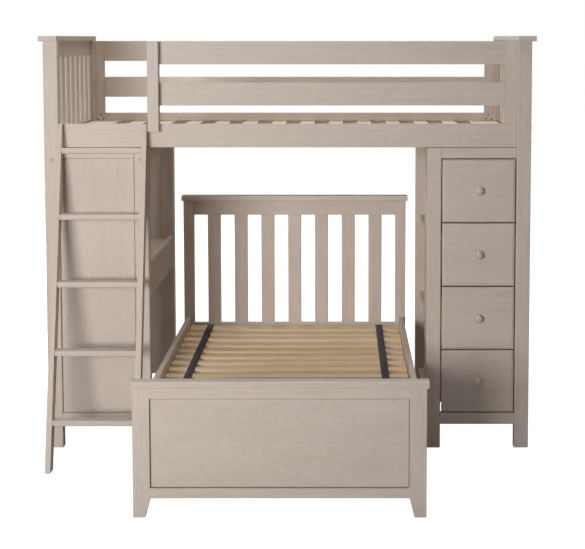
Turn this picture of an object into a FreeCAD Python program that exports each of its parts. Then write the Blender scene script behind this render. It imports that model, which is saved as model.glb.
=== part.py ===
import FreeCAD, Part
import Sketcher
import math
import os
import re

# L-shaped loft bed: an upper bed on four posts, a desk unit and a chest with a
# bookcase under its ends, a raked ladder, and a lower bed that stands square to it.
# Frame: +X to the right, +Y to the back, +Z up; the origin is on the floor at the
# middle of the footprint. Lengths are in millimetres.

SIZES = {
    # loft frame
    "loft_length": 2024,
    "loft_depth": 1080,
    "post_width": 60,
    "post_height": 1710,
    "post_round": 5,
    "edge_round": 2,
    "cap_overhang": 17,
    "cap_thick": 23,
    "cap_round": 4,
    "rail_thick": 25,
    "loft_rise": 440,
    "long_rail_height": 98,
    # end panels
    "end_top_rail_height": 66,
    "end_bottom_rail_height": 68,
    "end_slat_count": 7,
    "end_slat_width": 64,
    "end_slat_thick": 18,
    "end_slat_round": 6,
    # guards
    "guard_rail_thick": 22,
    "guard_rail_height": 95,
    "guard_rail_pitch": 170.5,
    "guard_stile_width": 46,
    "entry_gap": 0.5,
    "entry_lap": 31,
    "entry_stile_proud": 17.5,
    # slat platforms
    "slat_width": 65,
    "slat_thick": 18,
    "slat_count": 14,
    "slat_drop": 35,
    "lower_slat_drop": 39,
    "end_board_width": 60,
    "end_board_gap": 2,
    "slat_side_gap": 2,
    "cleat_width": 25,
    "cleat_height": 30,
    "strap_width": 32,
    "strap_thick": 1.5,
    "strap_inset": 77,
    "corner_plate_width": 58,
    "corner_plate_gap": 1,
    "corner_plate_thick": 4,
    # bed bolts
    "bolt_head_diameter": 15,
    "bolt_head_thick": 5,
    "bolt_seat_depth": 1,
    "bolt_seat_gap": 0.5,
    "bolt_shank_diameter": 6,
    "bolt_bite": 42,
    "bolt_spacing": 64,
    "bolt_hole_gap": 0.5,
    "barrel_diameter": 10,
    "barrel_length": 16,
    "barrel_setback": 30,
    # units under the loft
    "unit_top_gap": 2,
    "unit_stile_width": 60,
    "unit_kick": 101,
    "unit_top_rail_height": 42,
    "unit_bottom_rail_height": 48,
    "panel_thick": 12,
    "panel_recess": 8,
    "panel_groove": 3,
    "panel_tongue_thick": 5,
    "side_recess": 20,
    "side_rail_height": 64,
    "side_bolt_rise": 16,
    "desk_side_recess": 23,
    # desk
    "desk_height": 762,
    "desk_thick": 18,
    "desk_apron_thick": 23,
    "desk_apron_height": 153,
    "desk_apron_rise": 20,
    "desk_apron_recess": 3.5,
    "desk_apron_round": 8,
    "desk_rail_height": 80,
    "desk_cleat_width": 25,
    # chest and bookcase
    "board_thick": 16,
    "chest_depth": 549,
    "shelf_thick": 18,
    "shelf_bottom_top": 136,
    "shelf_pitch": 372.5,
    "shelf_count": 3,
    "sill_depth": 14,
    "drawer_count": 4,
    "drawer_gap": 5,
    "drawer_front_thick": 18,
    "drawer_bevel_width": 9,
    "drawer_bevel_depth": 5,
    "drawer_box_gap": 3,
    "drawer_box_rise": 42,
    "drawer_box_headroom": 49.75,
    "drawer_box_depth": 500,
    "drawer_side_thick": 12,
    "drawer_bottom_thick": 6,
    "runner_height": 14,
    "runner_bite": 10,
    "runner_gap": 0.3,
    "knob_diameter": 34,
    "knob_thick": 24,
    "knob_stand": 36,
    "knob_neck_diameter": 14,
    "knob_spigot_diameter": 8,
    "knob_spigot_gap": 0.2,
    # lower bed
    "bed_width": 1060,
    "bed_reach": 1021,
    "bed_head_setback": 52,
    "bed_side_gap": 49.5,
    "bed_post_depth": 44,
    "bed_cap_overhang": 9,
    "head_post_width": 49,
    "head_height": 951,
    "head_cap_thick": 25,
    "head_top_rail_height": 68,
    "head_bottom_rail_top": 363,
    "head_bottom_rail_height": 110,
    "head_slat_count": 7,
    "head_slat_width": 63,
    "foot_leg_width": 62,
    "foot_leg_toe_width": 44,
    "foot_height": 473,
    "foot_cap_thick": 26,
    "foot_top_rail_height": 39,
    "foot_bottom_rail_height": 38,
    "foot_clearance": 70,
    "foot_rail_recess": 0.5,
    "foot_panel_recess": 12,
    "side_rail_thick": 22,
    "side_rail_inset": 11,
    "lower_rail_top": 391,
    "lower_rail_height": 130,
    # ladder
    "ladder_left_inset": 55.8,
    "ladder_right_inset": 4.5,
    "ladder_rail_thick": 22,
    "ladder_rail_depth": 72,
    "ladder_reach": 424,
    "ladder_tip_depth": 12,
    "ladder_tip_round": 8,
    "tread_count": 5,
    "tread_first_height": 199,
    "tread_top_drop": 98,
    "tread_thick": 22,
    "tread_depth": 68,
    "tread_round": 5,
    "tread_setback": 2,
    # overrun of every cut past the face it opens
    "cut_overrun": 1,
}

doc = FreeCAD.newDocument("loft_bed")
sheet = doc.addObject("Spreadsheet::Sheet", "Sizes")
for row, (alias, number) in enumerate(SIZES.items(), start=1):
    sheet.set(f"A{row}", alias)
    sheet.set(f"B{row}", str(number))
    sheet.setAlias(f"B{row}", alias)
doc.recompute()

X_AXIS = FreeCAD.Vector(1, 0, 0)
Y_AXIS = FreeCAD.Vector(0, 1, 0)
Z_AXIS = FreeCAD.Vector(0, 0, 1)
AXES = {"x": X_AXIS, "y": Y_AXIS, "z": Z_AXIS}

nodes = []


def value(alias):
    """The number that the sheet holds under an alias."""
    return float(sheet.get(alias))


def count(alias):
    """A whole number from the sheet, for what repeats."""
    return int(round(value(alias)))


def bound(formula):
    """A formula in aliases, rewritten to read them from the sheet."""
    return re.sub(r"[a-z][a-z_]+[a-z]", lambda word: sheet_name(word.group(0)), formula)


def sheet_name(word):
    """An alias with its sheet, or the word itself where it is a function's name."""
    return f"Sizes.{word}" if word in SIZES else word


def bind(thing, prop, formula):
    """Tie one property of an object to a formula in aliases."""
    thing.setExpression(prop, bound(formula))


def place(thing, corner):
    """Tie an object's base point to three formulas."""
    for axis, formula in zip("xyz", corner):
        bind(thing, f"Placement.Base.{axis}", formula)


def keep(piece, name):
    """Give a finished piece its node name and put it on the list to write."""
    piece.Label = name
    nodes.append(piece)
    return piece


def plain_block(name, size, corner):
    """A square-edged block: size and low corner as three formulas each."""
    block = doc.addObject("Part::Box", name)
    for prop, formula in zip(("Length", "Width", "Height"), size):
        bind(block, prop, formula)
    place(block, corner)
    block.recompute()
    return block


def edges_along(shape, axes):
    """Numbers of the straight edges that run along one of the named axes."""
    found = []
    for number, edge in enumerate(shape.Edges, start=1):
        run = edge.Vertexes[1].Point.sub(edge.Vertexes[0].Point).normalize()
        if any(abs(run.dot(AXES[axis])) > abs(run.cross(AXES[axis]).Length) for axis in axes):
            found.append(number)
    return found


def eased(name, base, radii):
    """A solid with the numbered edges rounded, each to the radius that its alias holds."""
    piece = doc.addObject("Part::Fillet", name)
    piece.Base = base
    piece.Edges = [(number, value(alias), value(alias)) for number, alias in radii.items()]
    return piece


def rounded(name, block, radius, axes="xyz"):
    """A block with its edges along the named axes rounded to a radius from the sheet."""
    return eased(name, block, {number: radius for number in edges_along(block.Shape, axes)})


def board(name, size, corner, radius="edge_round", axes="xyz"):
    """A board with eased edges."""
    return rounded(name, plain_block(name + "_blank", size, corner), radius, axes)


def group(name, pieces):
    """Separate solids that share one node."""
    bundle = doc.addObject("Part::Compound", name)
    bundle.Links = pieces
    return bundle


def rod(name, diameter, length, axis, start):
    """A round bar along an axis from its start point."""
    bar = doc.addObject("Part::Cylinder", name)
    bar.Placement = FreeCAD.Placement(FreeCAD.Vector(), FreeCAD.Rotation(Z_AXIS, AXES[axis]))
    bind(bar, "Radius", f"({diameter}) / 2")
    bind(bar, "Height", length)
    place(bar, start)
    return bar


def fused(name, first, second):
    """Two solids made one."""
    joined = doc.addObject("Part::Fuse", name)
    joined.Base = first
    joined.Tool = second
    joined.Refine = True
    return joined


def cut(name, piece, tools):
    """A piece with all the tools taken out of it."""
    result = doc.addObject("Part::Cut", name)
    result.Base = piece
    result.Tool = tools[0] if len(tools) == 1 else group(name + "_tools", tools)
    return result


def ring_point(index, turns):
    """A corner of the even polygon that an outline starts from, before its sizes are set."""
    angle = 2 * math.pi * index / turns
    return FreeCAD.Vector(math.cos(angle), math.sin(angle), 0).multiply(value("post_height"))


def outlined(name, plane, points, thick, corner, reverse=False):
    """A body padded from a closed outline whose corners are pairs of formulas."""
    body = doc.addObject("PartDesign::Body", name)
    sketch = body.newObject("Sketcher::SketchObject", name + "_outline")
    face = next(item for item in body.Origin.OriginFeatures if item.Role == plane)
    sketch.AttachmentSupport = [(face, "")]
    sketch.MapMode = "FlatFace"
    turns = len(points)
    ring = [ring_point(index, turns) for index in range(turns)]
    for index in range(turns):
        sketch.addGeometry(Part.LineSegment(ring[index], ring[(index + 1) % turns]), False)
    first_point, last_point = 1, 2
    for index in range(turns):
        follower = (index + 1) % turns
        sketch.addConstraint(Sketcher.Constraint("Coincident", index, last_point, follower, first_point))
    for index, (across, along) in enumerate(points):
        for kind, formula in (("DistanceX", across), ("DistanceY", along)):
            rule = Sketcher.Constraint(kind, -1, first_point, index, first_point, 0)
            number = sketch.addConstraint(rule)
            sketch.setExpression(f"Constraints[{number}]", bound(formula))
    pad = body.newObject("PartDesign::Pad", name + "_pad")
    pad.Profile = sketch
    bind(pad, "Length", thick)
    pad.Reversed = reverse
    place(body, corner)
    doc.recompute()
    return body


# Faces that the pieces are set out from.
LEFT = "-loft_length / 2"
RIGHT = "loft_length / 2"
FRONT = "(bed_reach + bed_cap_overhang - loft_depth - cap_overhang) / 2"
BACK = f"{FRONT} + loft_depth"
BED_FRONT = f"{FRONT} - bed_reach"
BED_BACK = f"{BACK} - bed_head_setback"
RAIL_BOTTOM = "(post_height - loft_rise)"
RAIL_TOP = f"{RAIL_BOTTOM} + long_rail_height"
RAIL_INSET = "(post_width - rail_thick) / 2"
SLAT_TOP = f"{RAIL_TOP} - slat_drop"
LOWER_SLAT_TOP = "lower_rail_top - lower_slat_drop"
UNIT_WIDTH = "(loft_length / 2 - bed_width / 2 - bed_side_gap)"
UNIT_HEIGHT = f"({RAIL_BOTTOM} - unit_top_gap)"
CHEST = f"{RIGHT} - {UNIT_WIDTH}"
SIDE_BOLT_Z = f"{UNIT_HEIGHT} - side_rail_height + side_bolt_rise"
DESK_RAIL_X = f"{LEFT} + {UNIT_WIDTH} - desk_side_recess - rail_thick"


def outer_x(side, inset, wide):
    """Low X of a piece set in from the left or right outer faces of the loft."""
    return f"{LEFT} + {inset}" if side == "left" else f"{RIGHT} - ({inset}) - ({wide})"


def outer_y(row, inset, deep):
    """Low Y of a piece set in from the front or back faces of the loft."""
    return f"{FRONT} + {inset}" if row == "front" else f"{BACK} - ({inset}) - ({deep})"


def rail_bolt_heights():
    """Heights of the two bolts at each end of a long rail."""
    return [f"{RAIL_BOTTOM} + (long_rail_height {sign} bolt_spacing) / 2" for sign in "-+"]


def through_hole(name, axis, length, start):
    """A bolt hole that runs past both faces of a piece."""
    low = list(start)
    low["xyz".index(axis)] += " - cut_overrun"
    return rod(name, "bolt_shank_diameter + bolt_hole_gap", f"{length} + 2 * cut_overrun", axis, low)


def head_seat(name, axis, at_low_face, face, along):
    """A shallow round seat for a bolt's head in the outer face."""
    start = list(along)
    start["xyz".index(axis)] = f"{face} - cut_overrun" if at_low_face else f"{face} - bolt_seat_depth"
    diameter = "bolt_head_diameter + 2 * bolt_seat_gap"
    return rod(name, diameter, "bolt_seat_depth + cut_overrun", axis, start)


def corner_posts():
    """Four posts, drilled for the long rails and, on the left, for the desk side rails."""
    for row in ("front", "back"):
        for side in ("left", "right"):
            name = f"post_{row}_{side}"
            corner = (outer_x(side, "0", "post_width"), outer_y(row, "0", "post_width"), "0")
            size = ("post_width", "post_width", "post_height")
            post = board(name + "_bar", size, corner, "post_round", "z")
            middle = (f"{corner[0]} + post_width / 2", f"{corner[1]} + post_width / 2")
            holes = [
                through_hole(f"{name}_hole", "x", "post_width", (corner[0], middle[1], height))
                for height in rail_bolt_heights()
            ]
            outer = LEFT if side == "left" else RIGHT
            holes += [
                head_seat(f"{name}_seat", "x", side == "left", outer, ("0", middle[1], height))
                for height in rail_bolt_heights()
            ]
            if side == "left":
                start = (middle[0], corner[1], SIDE_BOLT_Z)
                holes.append(through_hole(f"{name}_side_hole", "y", "post_width", start))
                outer = FRONT if row == "front" else BACK
                holes.append(head_seat(f"{name}_side_seat", "y", row == "front", outer, start))
            keep(cut(name, post, holes), name)


def end_panels():
    """Cap, two rails and a row of upright slats at each end of the loft."""
    span = "loft_depth - 2 * post_width"
    slat_bottom = f"{RAIL_BOTTOM} + end_bottom_rail_height"
    slat_height = f"post_height - end_top_rail_height - ({slat_bottom})"
    gap = f"({span} - end_slat_count * end_slat_width) / (end_slat_count + 1)"
    top_rails, bottom_rails, slats = [], [], []
    for side in ("left", "right"):
        cap_x = outer_x(side, "-cap_overhang", "post_width + cap_overhang")
        cap_size = ("post_width + cap_overhang", "loft_depth + 2 * cap_overhang", "cap_thick")
        cap_name = f"end_cap_{side}"
        cap_corner = (cap_x, f"{FRONT} - cap_overhang", "post_height")
        keep(board(cap_name, cap_size, cap_corner, "cap_round"), cap_name)
        x = outer_x(side, RAIL_INSET, "rail_thick")
        y = f"{FRONT} + post_width"
        top_size = ("rail_thick", span, "end_top_rail_height")
        top_rails.append(board(f"end_top_{side}", top_size, (x, y, "post_height - end_top_rail_height")))
        bottom_size = ("rail_thick", span, "end_bottom_rail_height")
        bottom_rails.append(board(f"end_bottom_{side}", bottom_size, (x, y, RAIL_BOTTOM)))
        slat_x = outer_x(side, "(post_width - end_slat_thick) / 2", "end_slat_thick")
        for index in range(count("end_slat_count")):
            slat_y = f"{y} + {gap} + {index} * (end_slat_width + {gap})"
            slat_size = ("end_slat_thick", "end_slat_width", slat_height)
            slat_corner = (slat_x, slat_y, slat_bottom)
            slats.append(board(f"end_slat_{side}", slat_size, slat_corner, "end_slat_round", "z"))
    keep(group("top_rails", top_rails), "end_top_rails")
    keep(group("bottom_rails", bottom_rails), "end_bottom_rails")
    keep(group("slats_at_ends", slats), "end_slats")


def barrel_hole(name, axis, mid_plane, toward_high, along):
    """A blind hole for a barrel nut, open on the inner face of its rail."""
    length = "(rail_thick + barrel_length + bolt_hole_gap) / 2 + cut_overrun"
    near = f"{mid_plane} - (barrel_length + bolt_hole_gap) / 2"
    low = near if toward_high else f"{mid_plane} - (rail_thick / 2 + cut_overrun)"
    start = list(along)
    start["xyz".index(axis)] = low
    return rod(name, "barrel_diameter + bolt_hole_gap", length, axis, start)


def end_hole(name, axis, at_low_end, face, along):
    """A blind hole for a bolt in the end of a rail."""
    length = "bolt_bite + bolt_hole_gap + cut_overrun"
    start = list(along)
    low = f"{face} - cut_overrun" if at_low_end else f"{face} - bolt_bite - bolt_hole_gap"
    start["xyz".index(axis)] = low
    return rod(name, "bolt_shank_diameter + bolt_hole_gap", length, axis, start)


def long_rails():
    """Front and back bed rails between the posts, drilled at both ends."""
    span = "loft_length - 2 * post_width"
    for row in ("front", "back"):
        name = f"long_rail_{row}"
        y = outer_y(row, RAIL_INSET, "rail_thick")
        mid = f"{y} + rail_thick / 2"
        blank = board(name + "_bar", (span, "rail_thick", "long_rail_height"),
                      (f"{LEFT} + post_width", y, RAIL_BOTTOM))
        holes = []
        for height in rail_bolt_heights():
            for side in ("left", "right"):
                face = f"{LEFT} + post_width" if side == "left" else f"{RIGHT} - post_width"
                setback = "+ barrel_setback" if side == "left" else "- barrel_setback"
                holes.append(end_hole(name + "_bolt_hole", "x", side == "left", face, ("0", mid, height)))
                along = (f"{face} {setback}", "0", height)
                holes.append(barrel_hole(name + "_nut_hole", "y", mid, row == "front", along))
        keep(cut(name, blank, holes), name)


def bolt(name, axis, face, points_up, along):
    """A headed bolt, seated in the outer face of a post or stile, that reaches into a rail's end."""
    place_on = "xyz".index(axis)
    head_at, shank_at = list(along), list(along)
    seat = f"{face} + bolt_seat_depth" if points_up else f"{face} - bolt_seat_depth"
    head_at[place_on] = f"{seat} - bolt_head_thick" if points_up else seat
    shank_at[place_on] = seat if points_up else f"{face} - post_width - bolt_bite"
    head = rod(name + "_head", "bolt_head_diameter", "bolt_head_thick", axis, head_at)
    length = "post_width + bolt_bite - bolt_seat_depth"
    shank = rod(name + "_shank", "bolt_shank_diameter", length, axis, shank_at)
    return fused(name, head, shank)


def barrel_nut(name, axis, bolt_axis, centre):
    """A cross-drilled barrel nut, centred on its bolt."""
    start = list(centre)
    start["xyz".index(axis)] += " - barrel_length / 2"
    hole_start = list(centre)
    hole_start["xyz".index(bolt_axis)] += " - barrel_diameter"
    barrel = rod(name + "_barrel", "barrel_diameter", "barrel_length", axis, start)
    bore = "bolt_shank_diameter + bolt_hole_gap"
    hole = rod(name + "_bore", bore, "2 * barrel_diameter", bolt_axis, hole_start)
    return cut(name, barrel, [hole])


def bed_bolts():
    """Bolts and barrel nuts that pull the long rails and desk side rails to the uprights."""
    bolts, nuts = [], []
    inward = "(post_width + barrel_setback)"
    for row in ("front", "back"):
        mid = f"{outer_y(row, RAIL_INSET, 'rail_thick')} + rail_thick / 2"
        for side in ("left", "right"):
            face = LEFT if side == "left" else RIGHT
            nut_x = f"+ {inward}" if side == "left" else f"- {inward}"
            for height in rail_bolt_heights():
                bolts.append(bolt("rail_bolt", "x", face, side == "left", ("0", mid, height)))
                nuts.append(barrel_nut("rail_nut", "y", "x", (f"{face} {nut_x}", mid, height)))
        face = FRONT if row == "front" else BACK
        nut_y = f"+ {inward}" if row == "front" else f"- {inward}"
        for x in (f"{LEFT} + post_width / 2", f"{DESK_RAIL_X} + rail_thick / 2"):
            bolts.append(bolt("side_bolt", "y", face, row == "front", (x, "0", SIDE_BOLT_Z)))
            nuts.append(barrel_nut("side_nut", "x", "y", (x, f"{face} {nut_y}", SIDE_BOLT_Z)))
    keep(group("bolts", bolts), "bed_bolts")
    keep(group("nuts", nuts), "barrel_nuts")


def guards():
    """Guard rails along both sides, their stiles, and the taller stile beside the entry."""
    clear = "loft_length - 2 * post_width"
    entry_x = f"{LEFT} + {UNIT_WIDTH} - entry_gap"
    entry_wide = f"({UNIT_WIDTH} - entry_gap - post_width)"
    starts = {"front": f"{entry_x} + guard_stile_width", "back": f"{LEFT} + post_width + guard_stile_width"}
    spans = {
        "front": f"{clear} - {entry_wide} - 2 * guard_stile_width",
        "back": f"{clear} - 2 * guard_stile_width",
    }
    stiles = []
    for row in ("front", "back"):
        y = outer_y(row, "(post_width - guard_rail_thick) / 2", "guard_rail_thick")
        size = (spans[row], "guard_rail_thick", "guard_rail_height")
        top = "post_height - guard_rail_height"
        rails = [
            board(f"guard_{row}", size, (starts[row], y, f"{top} - {index} * guard_rail_pitch"))
            for index in range(2)
        ]
        keep(group(f"guards_{row}", rails), f"guard_rails_{row}")
        for side in ("left", "right"):
            if (row, side) == ("front", "left"):
                continue
            stile_y = outer_y(row, RAIL_INSET, "rail_thick")
            stile_x = outer_x(side, "post_width", "guard_stile_width")
            stile_size = ("guard_stile_width", "rail_thick", f"post_height - ({RAIL_TOP})")
            stiles.append(board(f"guard_stile_{row}_{side}", stile_size, (stile_x, stile_y, RAIL_TOP)))
    keep(group("stiles", stiles), "guard_stiles")
    inner = f"{RAIL_INSET} + rail_thick"
    outline = [
        ("-entry_stile_proud", f"{RAIL_TOP} - entry_lap"),
        (RAIL_INSET, f"{RAIL_TOP} - entry_lap"),
        (RAIL_INSET, RAIL_TOP),
        (inner, RAIL_TOP),
        (inner, "post_height"),
        ("-entry_stile_proud", "post_height"),
    ]
    stile = outlined("entry_stile", "YZ_Plane", outline, "guard_stile_width", (entry_x, FRONT, "0"))
    radii = {number: "edge_round" for number in range(1, len(stile.Shape.Edges) + 1)}
    keep(eased("entry_stile_eased", stile, radii), "guard_stile_entry")


def corner_plates():
    """Flat plates on the inner faces of the long rails, beside each post and just over the slats."""
    tall = "slat_drop - corner_plate_gap"
    plates = []
    for row in ("front", "back"):
        for side in ("left", "right"):
            x = outer_x(side, "post_width", "corner_plate_width")
            y = outer_y(row, f"{RAIL_INSET} + rail_thick", "corner_plate_thick")
            size = ("corner_plate_width", "corner_plate_thick", tall)
            plates.append(plain_block("plate", size, (x, y, f"{RAIL_TOP} - ({tall})")))
    keep(group("plates", plates), "corner_plates")


def slat_row(name, start, clear, make):
    """Slats at an even pitch along a bed, closed at each end by one more board."""
    margin = "(end_board_width + end_board_gap)"
    pitch = f"({clear} - 2 * {margin} - slat_width) / (slat_count - 1)"
    boards = [
        make(name, f"{start} + {margin} + {index} * {pitch}", "slat_width")
        for index in range(count("slat_count"))
    ]
    boards.append(make(name, start, "end_board_width"))
    boards.append(make(name, f"{start} + {clear} - end_board_width", "end_board_width"))
    return boards


def upper_platform():
    """Slats across the loft on cleats along the long rails, with their straps."""
    clear = "loft_length - 2 * post_width"
    start = f"{LEFT} + post_width"
    inner = f"({RAIL_INSET} + rail_thick)"
    low = f"{FRONT} + {inner} + slat_side_gap"
    across = f"loft_depth - 2 * {inner} - 2 * slat_side_gap"
    bottom = f"{SLAT_TOP} - slat_thick"

    def slat(name, x, wide):
        return board(name, (wide, across, "slat_thick"), (x, low, bottom))

    slats = slat_row("upper_slat", start, clear, slat)
    cleat_size = (clear, "cleat_width", "cleat_height")
    cleat_z = f"{bottom} - cleat_height"
    cleats = [
        board("upper_cleat", cleat_size, (start, outer_y(row, inner, "cleat_width"), cleat_z))
        for row in ("front", "back")
    ]
    edges = (f"{low} + strap_inset", f"{low} + {across} - strap_inset - strap_width")
    straps = [
        plain_block("upper_strap", (clear, "strap_width", "strap_thick"), (start, y, SLAT_TOP))
        for y in edges
    ]
    keep(group("slats_of_loft", slats), "upper_slats")
    return cleats, straps


def lower_platform():
    """Slats across the lower bed on cleats along its side rails, with their straps."""
    start = f"{BED_FRONT} + bed_post_depth"
    clear = f"{BED_BACK} - bed_post_depth - ({start})"
    inner = "(side_rail_inset + side_rail_thick)"
    low = f"-bed_width / 2 + {inner} + slat_side_gap"
    across = f"bed_width - 2 * {inner} - 2 * slat_side_gap"
    bottom = f"{LOWER_SLAT_TOP} - slat_thick"

    def slat(name, y, wide):
        return board(name, (across, wide, "slat_thick"), (low, y, bottom))

    slats = slat_row("lower_slat", start, f"({clear})", slat)
    cleats = [
        board("lower_cleat", ("cleat_width", clear, "cleat_height"), (x, start, f"{bottom} - cleat_height"))
        for x in (f"-bed_width / 2 + {inner}", f"bed_width / 2 - {inner} - cleat_width")
    ]
    edges = (f"{low} + strap_inset", f"{low} + {across} - strap_inset - strap_width")
    straps = [
        plain_block("lower_strap", ("strap_width", clear, "strap_thick"), (x, start, LOWER_SLAT_TOP))
        for x in edges
    ]
    keep(group("slats_of_bed", slats), "lower_slats")
    return cleats, straps


def frame_rails(name, start, span):
    """Top and bottom rails of a unit's front and back frames."""
    rails = []
    for row in ("front", "back"):
        y = outer_y(row, "0", "rail_thick")
        rails.append(board(name, (span, "rail_thick", "unit_bottom_rail_height"), (start, y, "unit_kick")))
        rails.append(board(name, (span, "rail_thick", "unit_top_rail_height"),
                           (start, y, f"{UNIT_HEIGHT} - unit_top_rail_height")))
    return rails


def grooved_panel(name, row, wide, tall, corner):
    """A panel whose raised outer field stands off its frame by a narrow groove on all sides."""
    x, y, z = corner
    field_thick = "panel_thick - panel_tongue_thick"
    field_y, sheet_y = (y, f"{y} + {field_thick}") if row == "front" else (f"{y} + panel_tongue_thick", y)
    sheet = plain_block(name + "_sheet", (wide, "panel_tongue_thick", tall), (x, sheet_y, z))
    field_size = (f"{wide} - 2 * panel_groove", field_thick, f"{tall} - 2 * panel_groove")
    field = plain_block(name + "_field", field_size, (f"{x} + panel_groove", field_y, f"{z} + panel_groove"))
    return fused(name, field, sheet)


def frame_panel(name, row, start, span):
    """A thin panel set back inside a unit's frame."""
    bottom = "unit_kick + unit_bottom_rail_height"
    tall = f"{UNIT_HEIGHT} - unit_top_rail_height - ({bottom})"
    return grooved_panel(name, row, span, tall, (start, outer_y(row, "panel_recess", "panel_thick"), bottom))


def unit_stiles(name, x):
    """The inner uprights of a unit, front and back."""
    size = ("unit_stile_width", "post_width", UNIT_HEIGHT)
    return [board(f"{name}_{row}", size, (x, outer_y(row, "0", "post_width"), "0"), "post_round", "z")
            for row in ("front", "back")]


def desk_unit():
    """Panelled frames, side rails and a desk top with a raised apron under the left end."""
    start = f"{LEFT} + post_width"
    span = f"{UNIT_WIDTH} - post_width - unit_stile_width"
    stiles = []
    blanks = unit_stiles("desk_stile", f"{LEFT} + {UNIT_WIDTH} - unit_stile_width")
    for row, stile in zip(("front", "back"), blanks):
        hole_start = (f"{DESK_RAIL_X} + rail_thick / 2", outer_y(row, "0", "post_width"), SIDE_BOLT_Z)
        hole = through_hole("desk_stile_hole", "y", "post_width", hole_start)
        outer = FRONT if row == "front" else BACK
        seat = head_seat("desk_stile_seat", "y", row == "front", outer, hole_start)
        stiles.append(cut(f"desk_stile_drilled_{row}", stile, [hole, seat]))
    keep(group("stiles_of_desk", stiles), "desk_stiles")
    keep(group("rails_of_desk", frame_rails("desk_rail", start, span)), "desk_frame_rails")
    for row in ("front", "back"):
        keep(frame_panel(f"desk_sheet_{row}", row, start, span), f"desk_panel_{row}")
    y = f"{FRONT} + post_width"
    deep = "loft_depth - 2 * post_width"
    apron_inset = f"{UNIT_WIDTH} - desk_apron_recess - desk_apron_thick"
    apron_bottom = "desk_height + desk_apron_rise - desk_apron_height"
    apron = board("apron", ("desk_apron_thick", deep, "desk_apron_height"),
                  (f"{LEFT} + {apron_inset}", y, apron_bottom), "desk_apron_round", "y")
    keep(apron, "desk_apron")
    top_bottom = "desk_height - desk_thick"
    middle = plain_block("desk_middle", (f"{apron_inset} - {RAIL_INSET}", deep, "desk_thick"),
                         (f"{LEFT} + {RAIL_INSET}", y, top_bottom))
    behind = "(panel_recess + panel_thick)"
    tongue = plain_block("desk_tongue", (span, f"loft_depth - 2 * {behind}", "desk_thick"),
                         (start, f"{FRONT} + {behind}", top_bottom))
    keep(fused("desk_board", middle, tongue), "desk_top")
    upper = f"{UNIT_HEIGHT} - side_rail_height"
    rails = []
    for x, open_high in ((f"{LEFT} + {RAIL_INSET}", True), (DESK_RAIL_X, False)):
        blank = board("side_rail_bar", ("rail_thick", deep, "side_rail_height"), (x, y, upper))
        mid = f"{x} + rail_thick / 2"
        holes = []
        for at_low_end in (True, False):
            face = f"{FRONT} + post_width" if at_low_end else f"{BACK} - post_width"
            nut_y = f"{face} + barrel_setback" if at_low_end else f"{face} - barrel_setback"
            holes.append(end_hole("side_bolt_hole", "y", at_low_end, face, (mid, "0", SIDE_BOLT_Z)))
            holes.append(barrel_hole("side_nut_hole", "x", mid, open_high, ("0", nut_y, SIDE_BOLT_Z)))
        rails.append(cut("side_rail", blank, holes))
    rails.append(board("desk_rail_outer", ("rail_thick", deep, "desk_rail_height"),
                       (f"{LEFT} + {RAIL_INSET}", y, f"{top_bottom} - desk_rail_height")))
    cleat_x = f"{LEFT} + {apron_inset} - desk_cleat_width"
    rails.append(board("desk_cleat", ("desk_cleat_width", deep, "desk_cleat_width"),
                       (cleat_x, y, f"{top_bottom} - desk_cleat_width")))
    keep(group("side_rails_of_desk", rails), "desk_side_rails")


def chest_unit():
    """Carcass of the chest of drawers and of the bookcase behind it, under the right end."""
    start = f"{CHEST} + unit_stile_width"
    span = f"{UNIT_WIDTH} - unit_stile_width - post_width"
    tall = f"{UNIT_HEIGHT} - unit_kick"
    y = f"{FRONT} + post_width"
    keep(group("stiles_of_chest", unit_stiles("chest_stile", CHEST)), "chest_stiles")
    sill_corner = (start, f"{FRONT} + rail_thick", "unit_kick + unit_bottom_rail_height - board_thick")
    sill = board("chest_sill", (span, "sill_depth", "board_thick"), sill_corner)
    keep(group("rails_of_chest", frame_rails("chest_rail", start, span) + [sill]), "chest_frame_rails")
    keep(frame_panel("chest_sheet", "back", start, span), "bookcase_back_panel")
    side_x = f"{CHEST} + side_recess"
    side = plain_block("chest_side", ("board_thick", "chest_depth + board_thick - post_width", tall),
                       (side_x, y, "unit_kick"))
    keep(side, "chest_side_panel")
    outer = plain_block("storage_outer", ("board_thick", "loft_depth - 2 * post_width", tall),
                        (f"{RIGHT} - side_recess - board_thick", y, "unit_kick"))
    keep(outer, "storage_outer_panel")
    inside = f"{UNIT_WIDTH} - 2 * side_recess - 2 * board_thick"
    wall = plain_block("partition", (inside, "board_thick", tall),
                       (f"{side_x} + board_thick", f"{FRONT} + chest_depth", "unit_kick"))
    keep(wall, "chest_partition")
    shelf_size = (f"{inside} + board_thick",
                  "loft_depth - post_width - chest_depth - board_thick", "shelf_thick")
    shelf_y = f"{FRONT} + chest_depth + board_thick"
    heights = [
        f"shelf_bottom_top + {index} * shelf_pitch - shelf_thick"
        for index in range(count("shelf_count"))
    ]
    heights.append(f"{UNIT_HEIGHT} - shelf_thick")
    shelves = [board("shelf", shelf_size, (side_x, shelf_y, height)) for height in heights]
    keep(group("shelves", shelves), "bookcase_shelves")


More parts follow.
